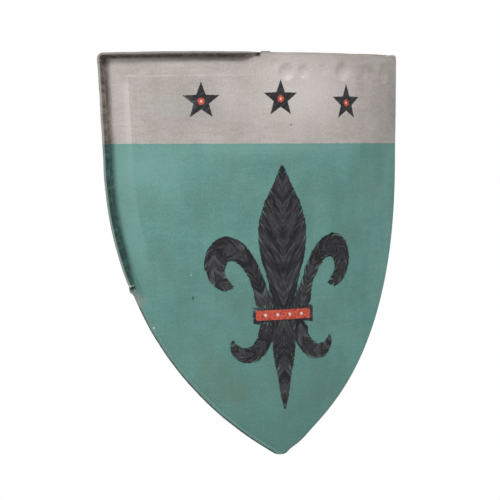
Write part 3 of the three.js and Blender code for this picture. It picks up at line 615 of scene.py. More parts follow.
def over(base, *layers):
    """A colour with others laid over it, each [share, red, green, blue]."""
    for share, *tint in layers:
        base = mixed(share, base, colour(*tint))
    return base


def turned(place, rotation, scale=(1, 1, 1)):
    """A place drawn out along its axes and turned."""
    return put(place.tree, "Mapping", {"Vector": place, "Rotation": rotation, "Scale": scale})


def noise(place, scale, detail=3.0, rough=0.55, drawn=None):
    """Noise over a place, drawn out along an axis where drawn gives a scale for each."""
    place = turned(place, (0, 0, 0), drawn) if drawn else place
    return put(place.tree, "TexNoise", {"Vector": place, "Scale": scale, "Detail": detail, "Roughness": rough})


def ragged(place, reach, *look):
    """Noise about 0, as far as half the reach to each side."""
    return (noise(place, *look) - 0.5) * reach


def parts_of(vector):
    """The three numbers of a vector."""
    node = put(vector.tree, "SeparateXYZ", {0: vector}).socket.node
    return [Wire(vector.tree, socket) for socket in node.outputs]


def length_along(vector):
    """How long a vector is in its first two numbers."""
    return put(vector.tree, "VectorMath", {0: vector * (1, 1, 0)}, "Value", operation="LENGTH")


def scaled(vector, scale):
    """A vector times a number."""
    return put(vector.tree, "VectorMath", {0: vector, 3: scale}, operation="SCALE")


def stored(tree, name, field="Fac"):
    """What store kept for each point."""
    return put(tree, "Attribute", take=field, attribute_name=name)


def raised(height, distance, strength=1.0, **under):
    """The normal of a surface raised by a height times a distance, over another normal."""
    return put(height.tree, "Bump", {"Height": height, "Distance": distance, "Strength": strength, **under})


def colour(red, green, blue):
    """A colour given as it looks on a screen, from 0 to 255, as the shader's linear values."""
    linear = [((c / 255 + 0.055) / 1.055) ** 2.4 if c > 10 else c / 255 / 12.92 for c in (red, green, blue)]
    return (*linear, 1.0)


def finish_of(name):
    """A new material, its tree, and the inputs of its shader."""
    material = bpy.data.materials.new(name)
    material.use_nodes = True
    tree = material.node_tree
    return material, tree, tree.nodes["Principled BSDF"].inputs


def effect(name, **inputs):
    """Makes a node group of the function under it, which is given the group's inputs as wires and
    gives its outputs by name. The function then puts the group in a material and gives its wires."""
    def group_of(shape):
        """Makes the group, whose outputs are what the function gives."""
        tree = bpy.data.node_groups.new(name, "ShaderNodeTree")
        for socket, kind in inputs.items():
            tree.interface.new_socket(socket, in_out="INPUT", socket_type="NodeSocket" + kind)
        given = tree.nodes.new("NodeGroupInput").outputs
        made = shape(*[Wire(tree, given[socket]) for socket in inputs])
        for socket, wire in made.items():
            kind = "Color" if wire.socket.type == "RGBA" else "Float"
            tree.interface.new_socket(socket, in_out="OUTPUT", socket_type="NodeSocket" + kind)
        fill(tree, tree.nodes.new("NodeGroupOutput").inputs, made)

        def place_group(place, *values):
            """Puts the group in a material and gives its outputs as wires."""
            node = place.tree.nodes.new("ShaderNodeGroup")
            node.node_tree = tree
            fill(place.tree, node.inputs, dict(zip(inputs, (place, *values))))
            wires = [Wire(place.tree, node.outputs[socket]) for socket in made]
            return wires if len(wires) > 1 else wires[0]
        return place_group
    return group_of


# ---------------------------------------------------------------- effects shared by finishes
@effect("brushed coat", Place="Vector", Light="Color", Dark="Color", Tint="Color", Lines="Float", Strokes="Float")
def brushed_coat(place, light, dark, tint, line_strength, stroke_strength):
    """A coat of matt paint put on by brush: two tones in soft clouds, a tint in other clouds, faint
    upright brush lines, level strokes and a fine speckle. Height is the lines and the speckle."""
    clouds, drift = noise(place, 11, 5, 0.62), noise(place, 34, 4, 0.6, (1, 0.45, 1))
    lines = between(noise(place, 260, 3, 0.55, (1, 0.06, 1)), 0.35, 0.7) * line_strength
    strokes = between(noise(place, 150, 4, 0.62, (0.30, 1, 1)), 0.3, 0.7, -1.0, 1.0) * stroke_strength
    speckle = noise(place, 520, 3, 0.65)
    share = between(clouds, 0.3, 0.7, 0, 0.6) + between(drift, 0.3, 0.7, 0, 0.4) + lines * 0.2
    share = share + between(speckle, 0.3, 0.7, -0.30, 0.30) + strokes
    other_clouds = between(noise(place + (3.1, 1.7, 0.0), 17, 5, 0.65), 0.40, 0.70, 0.0, 0.42)
    return {"Colour": mixed(other_clouds, mixed(share, light, dark), tint), "Height": lines * 0.5 + speckle * 0.7}


@effect("five-pointed star", Place="Vector", Centre="Vector", Radius="Float")
def star_shape(place, centre, radius):
    """A star of five points about a centre: how far a place lies outside its edge, and from its
    centre. The turn about the centre is folded onto half a point, whose edge is a straight line."""
    inner = 0.42
    apart = place - centre
    away, (across, down, _) = length_along(apart), parts_of(apart)
    turns = maths("ARCTAN2", across, down * -1.0) * (5 / (2 * math.pi)) + 0.5
    angle = abs(maths("FLOORED_MODULO", turns, 1.0) - 0.5) * (2 * math.pi / 5)
    along, beside = away * maths("COSINE", angle) / radius, away * maths("SINE", angle) / radius
    edge = np.array([inner * math.cos(math.pi / 5) - 1, inner * math.sin(math.pi / 5)])
    edge_along, edge_beside = (edge / np.linalg.norm(edge)).tolist()
    outside = (along - 1.0) * edge_beside - beside * edge_along
    return {"Edge": outside * radius, "Away": away}


@effect("soft patch", Place="Vector", Centre="Vector", Size="Vector")
def soft_patch(place, centre, size):
    """A soft oval patch: 1 at its centre, falling smoothly to 0 at its edge."""
    return {"Mask": between(length_along((place - centre) / size), 1.0, 0.0)}


@effect("hammer dent", Place="Vector", Centre="Vector", Radius="Float")
def hammer_dent(place, centre, radius):
    """A round hammer mark about a centre, as a height between -1 in its hollow and a low lip."""
    away = length_along(place - centre) / radius
    return {"Height": between(away, 1.0, 0.25, 0.0, -1.0) + between(abs(away - 1.12), 0.25, 0.0, 0.0, 0.16)}


@effect("small mark", Place="Vector", Centre="Vector", Reach="Float", Stretch="Vector")
def small_mark(place, centre, reach, stretch):
    """A ragged mark round a centre: a chip, a stain or a rubbed patch. Stretch draws it out."""
    away = length_along((place - centre) * stretch) / reach
    return {"Mask": between(away + ragged(place, 1.5, 380, 4, 0.65), 1.0, 0.45)}


@effect("worn through", Place="Vector", Share="Float", Scale="Float")
def worn_through(place, share, scale):
    """Where a coat is worn: a share pushed up and down by noise and cut off sharply."""
    return {"Mask": between(share + ragged(place, 1.6, scale, 6, 0.7), 0.46, 0.56)}


@effect("handled metal", Place="Vector", Scale="Float")
def handled_metal(place, scale):
    """Marks on bare metal: dull clouds, short scratches and small dark pits."""
    place = scaled(place, scale)
    scratches = noise(turned(place, (0.6, 0.4, 0.8), (1, 0.06, 1)), 900, 2, 0.5)
    return {"Cloud": between(noise(place, 90, 5, 0.65), 0.3, 0.7), "Scratch": between(scratches, 0.6, 0.72),
            "Pit": between(noise(place, 700, 3, 0.6), 0.62, 0.74)}


@effect("leather grain", Place="Vector", Scale="Float")
def leather_grain(place, scale):
    """The face of leather: small cells with fine creases between them, and soft clouds of wear."""
    place = scaled(place, scale)
    wobble = scaled(place + put(place.tree, "TexNoise", {"Vector": place, "Scale": 500}, take=1), 0.0012)
    cells = {"Vector": place + wobble, "Scale": 900}
    crease = put(place.tree, "TexVoronoi", cells, feature="DISTANCE_TO_EDGE")
    cell = put(place.tree, "SeparateColor", {0: put(place.tree, "TexVoronoi", cells, take=1)})
    return {"Cell": cell, "Cloud": between(noise(place, 60, 5, 0.6), 0.3, 0.7), "Height": between(crease, 0, 0.22)}


# ---------------------------------------------------------------- the finishes
ink_light, ink_dark = colour(88, 88, 90), colour(22, 22, 26)
# The light and the dark tone of each coat, grey then teal, and the tint in its clouds
coat_tints = [((196, 187, 183), (170, 162, 158), (172, 167, 155)),
              ((110, 160, 153), (90, 136, 129), (104, 136, 122))]

# In these tables arcs, depths and sizes are in millimetres.
# Hammer marks: arc, depth, radius and how deep, where a number less than 0 is a bulge
dents = [(14, 27, 12.5, 1), (44, 25, 10, 0.75), (118, 26, 13, 1), (170, 23, 11, 0.7),
         (219, 31, 8.5, -0.55), (80, 21, 9, 0.35), (-4, 12, 8, 0.4), (140, 60, 16, 0.25),
         (196, 70, 17, 0.22)]

# Soft changes of tone, painted highlights and painted shade in each coat: arc, depth, half the width and the
# height, strength and colour
# In the grey, the two broad pale patches right of the middle are a painted highlight, the four small pale spots
# just below hammer marks are painted highlights on the lower sides of their hollows, and the dark patch by the
# right edge is painted shade
grey_tones_light_and_shade = [(-145, 85, 115, 75, 0.45, (160, 152, 148)), (35, 60, 135, 85, 0.75, (214, 206, 201)),
              (18, 34.5, 10, 8, 0.55, (232, 224, 220)), (48, 32, 8, 7, 0.4, (226, 218, 214)),
              (121, 34, 11, 9, 0.4, (214, 206, 202)), (222, 34, 6.5, 11, 0.6, (200, 190, 186)),
              (62, 55, 110, 85, 0.5, (220, 212, 208)), (-10, 22, 55, 30, 0.45, (216, 208, 204)),
              (128, 50, 34, 40, 0.4, (206, 198, 194)), (182, 18, 26, 12, 0.35, (146, 132, 120)),
              (262, 80, 105, 120, 0.6, (146, 138, 133)), (-80, 58, 36, 62, 0.42, (208, 200, 196)),
              (134, 26, 28, 28, 0.4, (216, 208, 204)), (10, 124, 85, 18, 0.4, (208, 200, 196))]
# In the teal, the pale patch at the upper left is a painted highlight, and the darker patches low down and at the
# tip are painted shade
teal_tones_light_and_shade = [(-200, 165, 90, 68, 0.52, (130, 178, 171)), (0, 138, 240, 24, 0.5, (128, 174, 166)),
              (0, 600, 260, 300, 0.5, (78, 114, 107)), (-60, 380, 120, 110, 0.3, (84, 122, 115)),
              (-155, 400, 70, 130, 0.35, (82, 120, 113))]

# Single marks on the rim, over its painted shade and dirt, and on the paint: arc, depth, reach, how much it is
# drawn in across and down, strength and colour. At the kink the dark rim mark is painted shade in its break, and
# the pale flecks on the rim and the paint are painted glints on its crumpled metal; the white speck at arc 43 is a
# painted highlight on a hammer mark's lower side
rim_marks = [(-227.5, 346.8, 5, 0.9, 1.7, 0.9, (38, 48, 47)), (-226.8, 342.8, 2.7, 0.8, 1.5, 0.9, (196, 204, 199)),
             (-222.8, 353, 3, 1.2, 0.5, 0.6, (152, 164, 159)), (-218.5, 364, 8.5, 1.3, 0.45, 0.55, (150, 158, 152))]
paint_marks = [(-194, 406.5, 1.8, 1, 1, 1, (228, 232, 228)), (-137, 327.5, 1.4, 1, 0.8, 0.7, (186, 204, 196)),
               (-134.5, 362, 1.8, 1, 0.5, 0.8, (50, 66, 64)), (-229, 340.5, 2.4, 1, 0.8, 0.9, (206, 208, 202)),
               (-214.5, 366, 13, 1, 1, 0.5, (140, 146, 138)), (43, 33.5, 2.2, 1, 1, 1, (236, 232, 228)),
               (22, 105, 1.9, 1, 0.7, 0.7, (122, 104, 88)), (-105, 482, 34, 1, 0.7, 0.22, (102, 116, 88)),
               (-70, 505, 22, 1, 0.8, 0.22, (104, 112, 84)), (-262, 300, 4, 1, 0.2, 0.7, (188, 190, 184)),
               (-160, 75, 22, 0.6, 1, 0.25, (168, 178, 170))]


def spot(arc, depth):
    """A place on the sheet from its arc and depth in millimetres."""
    return arc * mm, depth * mm, 0


def toned(place, paint, tones):
    """Paint with soft patches of other tones over it."""
    for arc, depth, wide, high, strength, tint in tones:
        patch = soft_patch(place, spot(arc, depth), (wide * mm, high * mm, 1))
        paint = over(paint, (patch * strength, *tint))
    return paint


def marked(place, paint, marks):
    """Paint with small marks over it."""
    for arc, depth, reach, across, down, strength, tint in marks:
        mark = small_mark(place, spot(arc, depth), reach * mm, (across, down, 0))
        paint = over(paint, (mark * strength, *tint))
    return paint


def line_at(value, centre, *beyond):
    """How far a place is from a straight line where value is at its centre. The line ends where any
    of the numbers in beyond rises above 0."""
    return sum([most(past, 0.0) for past in beyond], abs(value - centre))


def creases(place, from_left):
    """How much painted highlight lies along the crease inside the margin and the joint across it, and how
    much painted light makes the margin itself paler."""
    arc, depth, _ = parts_of(place)
    crease_inset, crease_depth, joint_depth = 0.0362, 0.0305, 0.1015
    near_left = line_at(from_left, crease_inset, 0.036 - depth, (depth - 0.27) * 0.05)
    near_top = line_at(depth, crease_depth, arc + 0.045, -0.231 - arc)
    joint = line_at(depth, joint_depth, from_left - 0.034)
    broken = noise(place, 38, 5)
    crease = between(maths("MINIMUM", near_left, near_top), 0.0020, 0.0) * between(broken, 0.36, 0.62, 0.1, 0.5)
    crease = crease * between(depth, 0.125, 0.140, 1.0, 0.55)
    joint = between(joint, 0.0021, 0.0) * between(broken, 0.30, 0.60, 0.35, 0.75)
    # painted light on the sloping margin beside the left crease, and down the left margin below the border
    light_by_crease = between(from_left, 0.023, 0.033) * between(depth, 0.030, 0.044)
    light_by_crease = light_by_crease * between(depth, 0.34, 0.20, 0.0, 0.45)
    margin = between(depth, 0.125, 0.14, 0.10, 0.26) * between(depth, 0.36, 0.26)
    return most(crease, joint), most(light_by_crease, margin)


def lily_and_stars(place, paint):
    """Paint with the lily and the stars on it, the mask of their black and its grey streaks. The
    barbs of the leaves leave the middle line at a slant, and the streaks and edges follow them."""
    tree = place.tree
    along, beside, leaf = parts_of(stored(tree, "stroke", "Vector"))
    beside = abs(beside)
    onward = (along * 0.84 + beside * 0.54) * 0.16
    barbs = put(tree, "CombineXYZ", {0: beside * 0.84 - along * 0.54, 1: onward, 2: leaf})
    streaks, rag = noise(barbs, 330, 4, 0.66), ragged(barbs, 7.0, 230, 4, 0.7)
    tone = between(streaks, 0.46, 0.72, 0.0, 0.75) + between(noise(barbs, 90, 3, 0.6), 0.42, 0.7, 0.0, 0.45)
    edge = stored(tree, "ink")
    dry = between(edge, -9.0, -1.0) * between(streaks, 0.56, 0.66)
    ink = between(edge + rag, 0.4, -0.4) * (1.0 - dry * 0.7)
    red = between(stored(tree, "red") + rag * 0.2, 0.3, -0.3)
    white = between(stored(tree, "white"), 0.25, -0.25)
    star_ink, star_rag = 0.0, ragged(place, 0.0022, 420, 4, 0.7)
    for arc, depth in star_places:
        edge, away = star_shape(place, spot(arc, depth), star_radius)
        star_ink = most(star_ink, between(edge + star_rag, 0.0004, -0.0004))
        red = most(red, between(away, 0.0057, 0.0050))
        white = most(white, between(away, 0.0020, 0.0014))
    star_tone = between(noise(turned(place, (0, 0, 0.6)), 260, 4, 0.66, (0.2, 1, 1)), 0.40, 0.76, 0.05, 0.62)
    paint = mixed(ink, paint, mixed(tone, ink_dark, ink_light))
    paint = mixed(star_ink, paint, mixed(star_tone, ink_dark, ink_light))
    red_tone = mixed(between(noise(place, 260, 4), 0.4, 0.66), colour(214, 96, 78), colour(160, 58, 46))
    paint = mixed(red, paint, red_tone)
    return over(paint, (white, 222, 212, 205)), most(ink, star_ink), streaks


def painted_sheet_finish():
    """The sheet: grey over teal in front with black, red and white shapes, worn to grey metal at
    the rim. Behind, old dark primer with rust and the colours of welding heat."""
    material, tree, shader = finish_of("painted sheet")
    place = stored(tree, "flat_place", "Vector")
    arc, depth, _ = parts_of(place)
    known = ("inset", "from_left", "strip", "rear", "heat")
    inset, from_left, strip, rear, heat = (stored(tree, name) for name in known)

    # the border between grey and teal, a little out of level and ragged
    border_depth, border_slope, border_blur = 0.1330, 0.0104, 0.0004
    border = depth + ragged(place, 0.0018, 45) - arc * border_slope
    below = between(border, border_depth - border_blur, border_depth + border_blur)

    def each(grey, teal):
        """One colour on the grey coat and another on the teal."""
        return mixed(below, colour(*grey), colour(*teal))

    # the two coats with their changes of tone, painted highlights and painted shade, and a fine grain
    greys, teals = ([colour(*tint) for tint in tints] for tints in coat_tints)
    (grey, brushed), (teal, _) = brushed_coat(place, *greys, 0.3, 0.27), brushed_coat(place, *teals, 0.4, 0.12)
    paint = mixed(below, toned(place, grey, grey_tones_light_and_shade), toned(place, teal, teal_tones_light_and_shade))
    grain, grain_strength = between(noise(place, 290, 4, 0.75), 0.38, 0.62), 0.09
    grain = mixed(grain, each((112, 102, 94), (58, 94, 88)), each((242, 236, 233), (142, 186, 178)))
    paint = mixed(grain_strength, paint, grain)

    # painted highlight along the creases and painted light making the margin paler; then the design and single
    # marks
    # the colour of the painted highlight on the creases and of the painted light on the margin
    rubbed = each((212, 204, 199), (136, 176, 169))
    crease, paler = creases(place, from_left)
    soft_inside = between(from_left + ragged(place, 0.012, 22, 4), 0.044, 0.028)
    inside = between(from_left, 0.0382, 0.0362) * (1.0 - below) + soft_inside * below
    paint = mixed(crease, mixed(paler * inside, paint, rubbed), rubbed)
    paint, ink, streaks = lily_and_stars(place, paint)
    # single marks on the paint, among them a painted glint and a painted highlight
    paint = marked(place, paint, paint_marks)

    # wear: most on the roll and the lower edges, little on the face; painted shade with some dirt in the inner
    # corner
    low_edge = between(inset, 0.006, 0.0, 0.0, 0.34) * between(depth, 0.30, 0.37, 0.35, 1.2)
    low_edge = low_edge * between(inset, -0.0006, 0.0, 0.45, 1.0)
    worn = worn_through(place, most(strip * 0.40, low_edge), 160.0)
    dulled = mixed(between(noise(place, 120, 4), 0.35, 0.65), colour(152, 150, 145), colour(116, 115, 111))
    strip_tint = mixed(between(depth, 0.014, 0.006), colour(148, 146, 140), colour(128, 126, 120))
    # the worn strip, and painted light over the shade in the fold of the flattened rim
    front = over(mixed(strip * 0.75, paint, strip_tint), (stored(tree, "painted_light_fold") * 0.42, 134, 182, 174))
    speck = between(noise(place, 420, 2, 0.5), 0.70, 0.735)
    front = over(mixed(worn, front, dulled), (speck * 0.3, 116, 112, 106))
    # painted shade with some dirt: patchy, brown-grey on the grey coat and dark teal on the teal
    patchy_shade_and_dirt = stored(tree, "painted_shade_and_dirt") * between(noise(place, 90, 4, 0.65), 0.34, 0.6, 0.66, 1.0)
    front = mixed(patchy_shade_and_dirt * 0.92, front, each((88, 76, 70), (44, 66, 64)))
    # painted shade: near black where the hole at the tear is dark
    front = over(front, (stored(tree, "hole"), 40, 34, 32))
    # single marks on the rim, among them painted shade and a painted glint at the kink
    front = marked(place, front, rim_marks)

    # behind: primer, rust freckles and heat tint
    primer = mixed(noise(place, 14, 5, 0.6), colour(96, 92, 86), colour(70, 67, 63))
    rust = between(noise(place, 60, 7, 0.72), 0.53, 0.72) * 0.5
    primer = over(primer, (rust, 100, 78, 62), (between(heat, 0.25, 0.7, 0.0, 0.8), 52, 50, 58),
                  (between(heat, 0.55, 1.0, 0.0, 0.7), 128, 106, 78))

    beaten = sum(hammer_dent(place, spot(across, down), radius * mm) * deep
                 for across, down, radius, deep in dents)
    height = brushed * 0.5 + below * 0.3 + ink * (0.35 + streaks * 0.5) + worn * -0.9 + crease * 1.2
    rough = between(noise(place, 70, 4), 0.3, 0.7, 0.52, 0.64) + worn * -0.08
    fill(tree, shader, {"Base Color": mixed(rear, front, primer), "Roughness": rough, "Specular IOR Level": 0.22,
                        "Metallic": worn * (1.0 - rear) * 0.35,
                        "Normal": raised(height, 0.00016, Normal=raised(beaten, 0.0011))})
    return material


def metal_finish(name, bright, dull, dark, rough_low, rough_high, scale=1.0):
    """Bare metal in use: bright where it is rubbed, dull in clouds, dark in its pits."""
    material, tree, shader = finish_of(name)
    cloud, scratch, pit = handled_metal(put(tree, "TexCoord", take="Object"), scale)
    base = over(mixed(cloud, colour(*bright), colour(*dull)), (pit * 0.75, *dark))
    rough = between(cloud, 0.0, 1.0, rough_low, rough_high) + scratch * 0.12
    normal = raised(1.0 - (scratch * 0.4 + pit), 0.00006, 0.8)
    fill(tree, shader, {"Base Color": base, "Roughness": rough, "Metallic": 1.0, "Normal": normal})
    return material


def strap_finish():
    """Strap leather: a grained face, a pressed line along each edge, dark rubbed edges, and worn
    rings round the holes. Its place is along and across the strap."""
    material, tree, shader = finish_of("strap leather")
    place = stored(tree, "strap_place", "Vector")
    _, across, hole = parts_of(place)
    across = abs(across)
    cell, cloud, grain = leather_grain(put(tree, "TexCoord", take="Object"), 1.0)
    pressed = between(abs(across - 0.0122), 0.0007, 0.0)
    bend = between(noise(place, 260, 4, 0.6, (1, 0.12, 1)), 0.56, 0.72) * 0.35
    base = over(mixed(cloud, colour(128, 80, 46), colour(92, 54, 30)), (cell * 0.3, 72, 42, 24),
                (pressed * 0.75, 48, 28, 17), (between(across, 0.0139, 0.0147), 46, 29, 20), (bend, 60, 36, 22),
                (between(hole, 0.25, 1.0, 0.0, 0.7), 52, 32, 20))
    fill(tree, shader, {"Base Color": base, "Roughness": between(cloud, 0.0, 1.0, 0.48, 0.62),
                        "Specular IOR Level": 0.4,
                        "Normal": raised(grain * 0.28 - (pressed + bend), 0.00035, 0.8)})
    return material


def pad_finish():
    """Soft dark leather of the pad: finer grain, paler where the arm rubs, dark in the seams."""
    material, tree, shader = finish_of("pad leather")
    cell, cloud, grain = leather_grain(put(tree, "TexCoord", take="Object"), 0.8)
    base = over(mixed(cloud, colour(84, 60, 44), colour(60, 42, 31)), (stored(tree, "rubbed") * 0.5, 118, 88, 66),
                (cell * 0.25, 44, 31, 23), (stored(tree, "seam"), 34, 24, 18))
    fill(tree, shader, {"Base Color": base, "Roughness": between(cloud, 0.0, 1.0, 0.5, 0.66),
                        "Specular IOR Level": 0.4, "Normal": raised(grain * 0.5, 0.0003, 0.7)})
    return material


def thread_finish():
    """Waxed thread: a fine twist of two tones."""
    material, tree, shader = finish_of("waxed thread")
    twist = noise(put(tree, "TexCoord", take="Object"), 1500, 2, 0.5)
    base = mixed(twist, colour(196, 176, 140), colour(140, 118, 86))
    fill(tree, shader, {"Base Color": base, "Roughness": 0.7, "Normal": raised(twist, 0.0002, 0.6)})
    return material


painted, strap_leather, pad_leather, thread = painted_sheet_finish(), strap_finish(), pad_finish(), thread_finish()
wire_steel = metal_finish("rim wire", (150, 147, 142), (104, 100, 94), (72, 54, 40), 0.38, 0.55)
welded_steel = metal_finish("welded steel", (134, 131, 126), (90, 87, 83), (66, 46, 34), 0.36, 0.6)
nickel = metal_finish("nickel plate", (196, 190, 178), (150, 144, 132), (86, 76, 62), 0.22, 0.42)
copper = metal_finish("copper", (198, 122, 86), (142, 82, 56), (62, 40, 30), 0.3, 0.5, 1.6)


# ---------------------------------------------------------------- carried shapes
def directions(path, closed=False):
    """The direction of a path at each point, as the mean of the two steps that meet there."""
    step = (np.roll(path, -1, 0) - path) if closed else np.diff(path, axis=0)
    step /= np.linalg.norm(step, axis=1)[:, None]
    way = step + np.roll(step, 1, 0) if closed else np.vstack([step[:1], step[:-1] + step[1:], step[-1:]])
    return way / np.linalg.norm(way, axis=1)[:, None]


def square_to(way):
    """The directions square to flat ones."""
    return np.stack([way[:, 1], -way[:, 0]], -1)


def rod_along(path, radius, sides=20, closed=False):
    """A round rod about a path: circles square to it, turned from one to the next without twist.
    An open rod ends in two rounded caps, as long as 0.35 of its radius."""
    radius = np.broadcast_to(radius, len(path))
    if not closed:
        ways = directions(path)
        angle = np.linspace(math.pi / 2, 0, 5)[:-1]
        head = path[0] - ways[0] * (np.sin(angle) * radius[0] * 0.35)[:, None]
        tail = path[-1] + ways[-1] * (np.sin(angle[::-1]) * radius[-1] * 0.35)[:, None]
        path = np.vstack([head, path, tail])
        radius = np.concatenate([np.cos(angle) * radius[0], radius, np.cos(angle[::-1]) * radius[-1]])
    ways = directions(path, closed)
    if not closed:
        ways[:5], ways[-5:] = ways[5], ways[-6]
    aside, asides = np.cross(ways[0], [0.3, 0.5, 0.8]), []
    for way in ways:
        aside = aside - way * aside.dot(way)
        aside /= np.linalg.norm(aside)
        asides.append(aside)
    asides = np.array(asides)
    others = np.cross(ways, asides)
    turn = np.broadcast_to(np.linspace(0, 2 * math.pi, sides, endpoint=False), (len(path), sides))
    if closed:
        slip = math.atan2(asides[0].dot(others[-1]), asides[0].dot(asides[-1]))
        turn = turn + slip * np.linspace(0, 1, len(path))[:, None]
    ring = asides[:, None] * np.cos(turn)[..., None] + others[:, None] * np.sin(turn)[..., None]
    points = path[:, None] + ring * radius[:, None, None]
    return points.reshape(-1, 3), (looped_faces if closed else tube_faces)(len(path), sides)


def rounded_path(corners, closed=False, steps=7):
    """A flat path through corner points, each corner [x, y, radius] rounded by an arc."""
    path = []
    for place, (x, y, radius) in enumerate(corners):
        corner = np.array([x, y])
        if radius == 0 or (not closed and place in (0, len(corners) - 1)):
            path.append(corner)
            continue
        before, after = (np.array(corners[(place + step) % len(corners)][:2]) - corner for step in (-1, 1))
        before, after = before / np.linalg.norm(before), after / np.linalg.norm(after)
        half = math.acos(before.dot(after)) / 2
        centre = corner + (before + after) / np.linalg.norm(before + after) * radius / math.sin(half)
        start, end = (corner + way * radius / math.tan(half) - centre for way in (before, after))
        sweep = math.copysign(math.pi - 2 * half, start[0] * end[1] - start[1] * end[0])
        angle = sweep * np.linspace(0, 1, steps)[:, None]
        path.extend(centre + start * np.cos(angle) + start[::-1] * [-1, 1] * np.sin(angle))
    return np.array(path)


def rounded_frame(half, near, far, near_radius, far_radius, steps):
    """A closed path round a rectangle whose corners have one radius near and another far."""
    return rounded_path([(-half, near, near_radius), (half, near, near_radius), (half, far, far_radius),
                         (-half, far, far_radius)], True, steps)


def lathed(profile, segments=28, axes=(0, 2, 1)):
    """A profile [radius, height] turned about Y, or about X where the axes say so, and closed where
    its radius is 0."""
    profile = np.asarray(profile, float)
    angle = np.linspace(0, 2 * math.pi, segments, endpoint=False)
    points = np.stack([profile[:, :1] * np.cos(angle), profile[:, :1] * np.sin(angle),
                       np.broadcast_to(profile[:, 1:], (len(profile), segments))], -1)
    return points.reshape(-1, 3)[:, axes], [grid_faces(len(profile), segments, wrap=True)]


def fitting(arc, height):
    """The frame of a fitting at a place on the inner face: X across, Y off the face to the rear."""
    angle = arc / inner_radius
    place = Vector((inner_radius * math.sin(angle), axis_y - inner_radius * math.cos(angle), height))
    return np.array(Matrix.Translation(place) @ Matrix.Rotation(angle, 4, "Z"))


def moved(matrix, points):
    """Points of a frame, in the frame that it stands in."""
    return points @ matrix[:3, :3].T + matrix[:3, 3]


def placed(matrix, shape):
    """A shape of a frame, in the frame that it stands in."""
    return moved(matrix, shape[0]), shape[1]


def off_face(arc, rise, height=0.0):
    """Points beside a fitting, at an arc from it, a rise off the bent inner face and a height."""
    angle, radius = arc / inner_radius, inner_radius - rise
    return np.stack(np.broadcast_arrays(radius * np.sin(angle), inner_radius - radius * np.cos(angle), height), -1)


# ---------------------------------------------------------------- staples, rings and clips
staple_half = strap_width / 2 + 1.6 * mm + rod
staple_places = {"grip_staple_low": (grip_arc, -grip_half), "grip_staple_high": (grip_arc, grip_half),
                 "arm_staple_low": (arm_arc, -arm_half), "arm_staple_high": (arm_arc, arm_half)}
ring_off, clip_thick = 3.1 * mm, 1.5 * mm
clip_seat, clip_loop, clip_lug = seat + clip_thick / 2, rod + seat + clip_thick / 2, 12 * mm


def mirrored_path(side, steps=7):
    """A rounded path whose second half is the first one's mirror image. side gives the corners of
    one half, from its outer end, for -1 and for 1."""
    return rounded_path(side(-1) + side(1)[::-1], steps=steps)


def staple_side(way):
    """Half a staple: along the face, up round a bend, and across under the strap."""
    foot, heel = (off_face(way * reach, seat + rod)[:2] for reach in (staple_half + staple_foot, staple_half))
    return [(*foot, 0), (*heel, rod_bend), (way * staple_half, staple_rise, rod_bend)]


def clip_side(end):
    """Half a ring's clip: a lug on the face, then half the loop over the ring."""
    return [(clip_seat, end * (clip_loop + clip_lug), 0), (clip_seat, end * clip_loop, 1.6 * mm),
            (ring_off + clip_loop, end * clip_loop, clip_loop * 0.9)]


def weld_bead(place, arcs, rise, height, radius, seed):
    """A bead of weld between two arcs: a rod whose radius ripples like a row of coins, fading at
    its ends."""
    start, end = (off_face(arc, rise, height) for arc in arcs)
    share = np.linspace(0, 1, 34)
    path = start + (end - start) * share[:, None]
    swell = 0.86 + 0.14 * np.abs(np.sin(share * math.pi * 7 + seed)) + 0.05 * wander(share, seed, 0.4)
    fade = np.sqrt(np.clip(1.15 - (2 * share - 1) ** 4, 0.1, 1))
    return placed(place, rod_along(path, radius * swell * fade, sides=12))


def make_fittings():
    """The four staples, the two rings in their clips, and the beads that weld them on."""
    beads = []
    flat = mirrored_path(staple_side)
    staple = rod_along(np.column_stack([flat, np.zeros(len(flat))]), rod)
    for name, (arc, height) in staple_places.items():
        place = fitting(arc, height)
        make_piece(name + "_rod", placed(place, staple), welded_steel, stands_for=[name])
        for way in (-1, 1):
            arcs = [way * (staple_half + reach) for reach in (3 * mm, staple_foot - 0.5 * mm)]
            for side in (-1, 1):
                beads.append(weld_bead(place, arcs, 0.45 * mm, side * 2.15 * mm, 1.35 * mm, way + 2 * side + 5))
    flat = rounded_frame(17 * mm, 0, -26 * mm, 4 * mm, 14 * mm, 14)
    ring = rod_along(np.column_stack([flat[:, 0], np.full(len(flat), ring_off), flat[:, 1]]), rod, closed=True)
    clip, _ = ribbon(mirrored_path(clip_side, 9), 7.5 * mm, clip_thick, 0.35 * mm)
    for side, way in (("left", -1), ("right", 1)):
        place = fitting(way * ring_arc, top_z - ring_depth)
        make_piece("ring_" + side, placed(place, ring), nickel, "neck_ring_" + side, ["neck_ring_" + side])
        make_piece("clip_" + side, placed(place, clip), welded_steel, stands_for=["ring_clip_" + side])
        for end in (-1, 1):
            lug_end = end * (clip_loop + clip_lug)
            beads.append(weld_bead(place, (-6.5 * mm, 6.5 * mm), 0.35 * mm, lug_end, 1.3 * mm, end + 3))
    make_piece("weld_beads", joined(beads), welded_steel)


def weld_heat(arc, depth):
    """How near a point of the sheet is to a weld: 1 at it, 0 from about 22 mm away."""
    spots = [(place_arc + way * (staple_half + staple_foot / 2), top_z - height, 0.8, 22 * mm)
             for place_arc, height in staple_places.values() for way in (-1, 1)]
    spots += [(way * ring_arc, ring_depth + end * 14 * mm, 1, 20 * mm) for way in (-1, 1) for end in (-1, 1)]
    away = [np.hypot((arc - at) * wide, depth - down) / reach for at, down, wide, reach in spots]
    return np.clip(1 - np.minimum.reduce(away), 0, 1)


# ---------------------------------------------------------------- leather straps
def strap_places(run, across):
    """Each point's place along and across a strap, with no hole near it."""
    return np.column_stack([np.repeat(run, across.shape[1]), across.ravel(), np.zeros(across.size)])


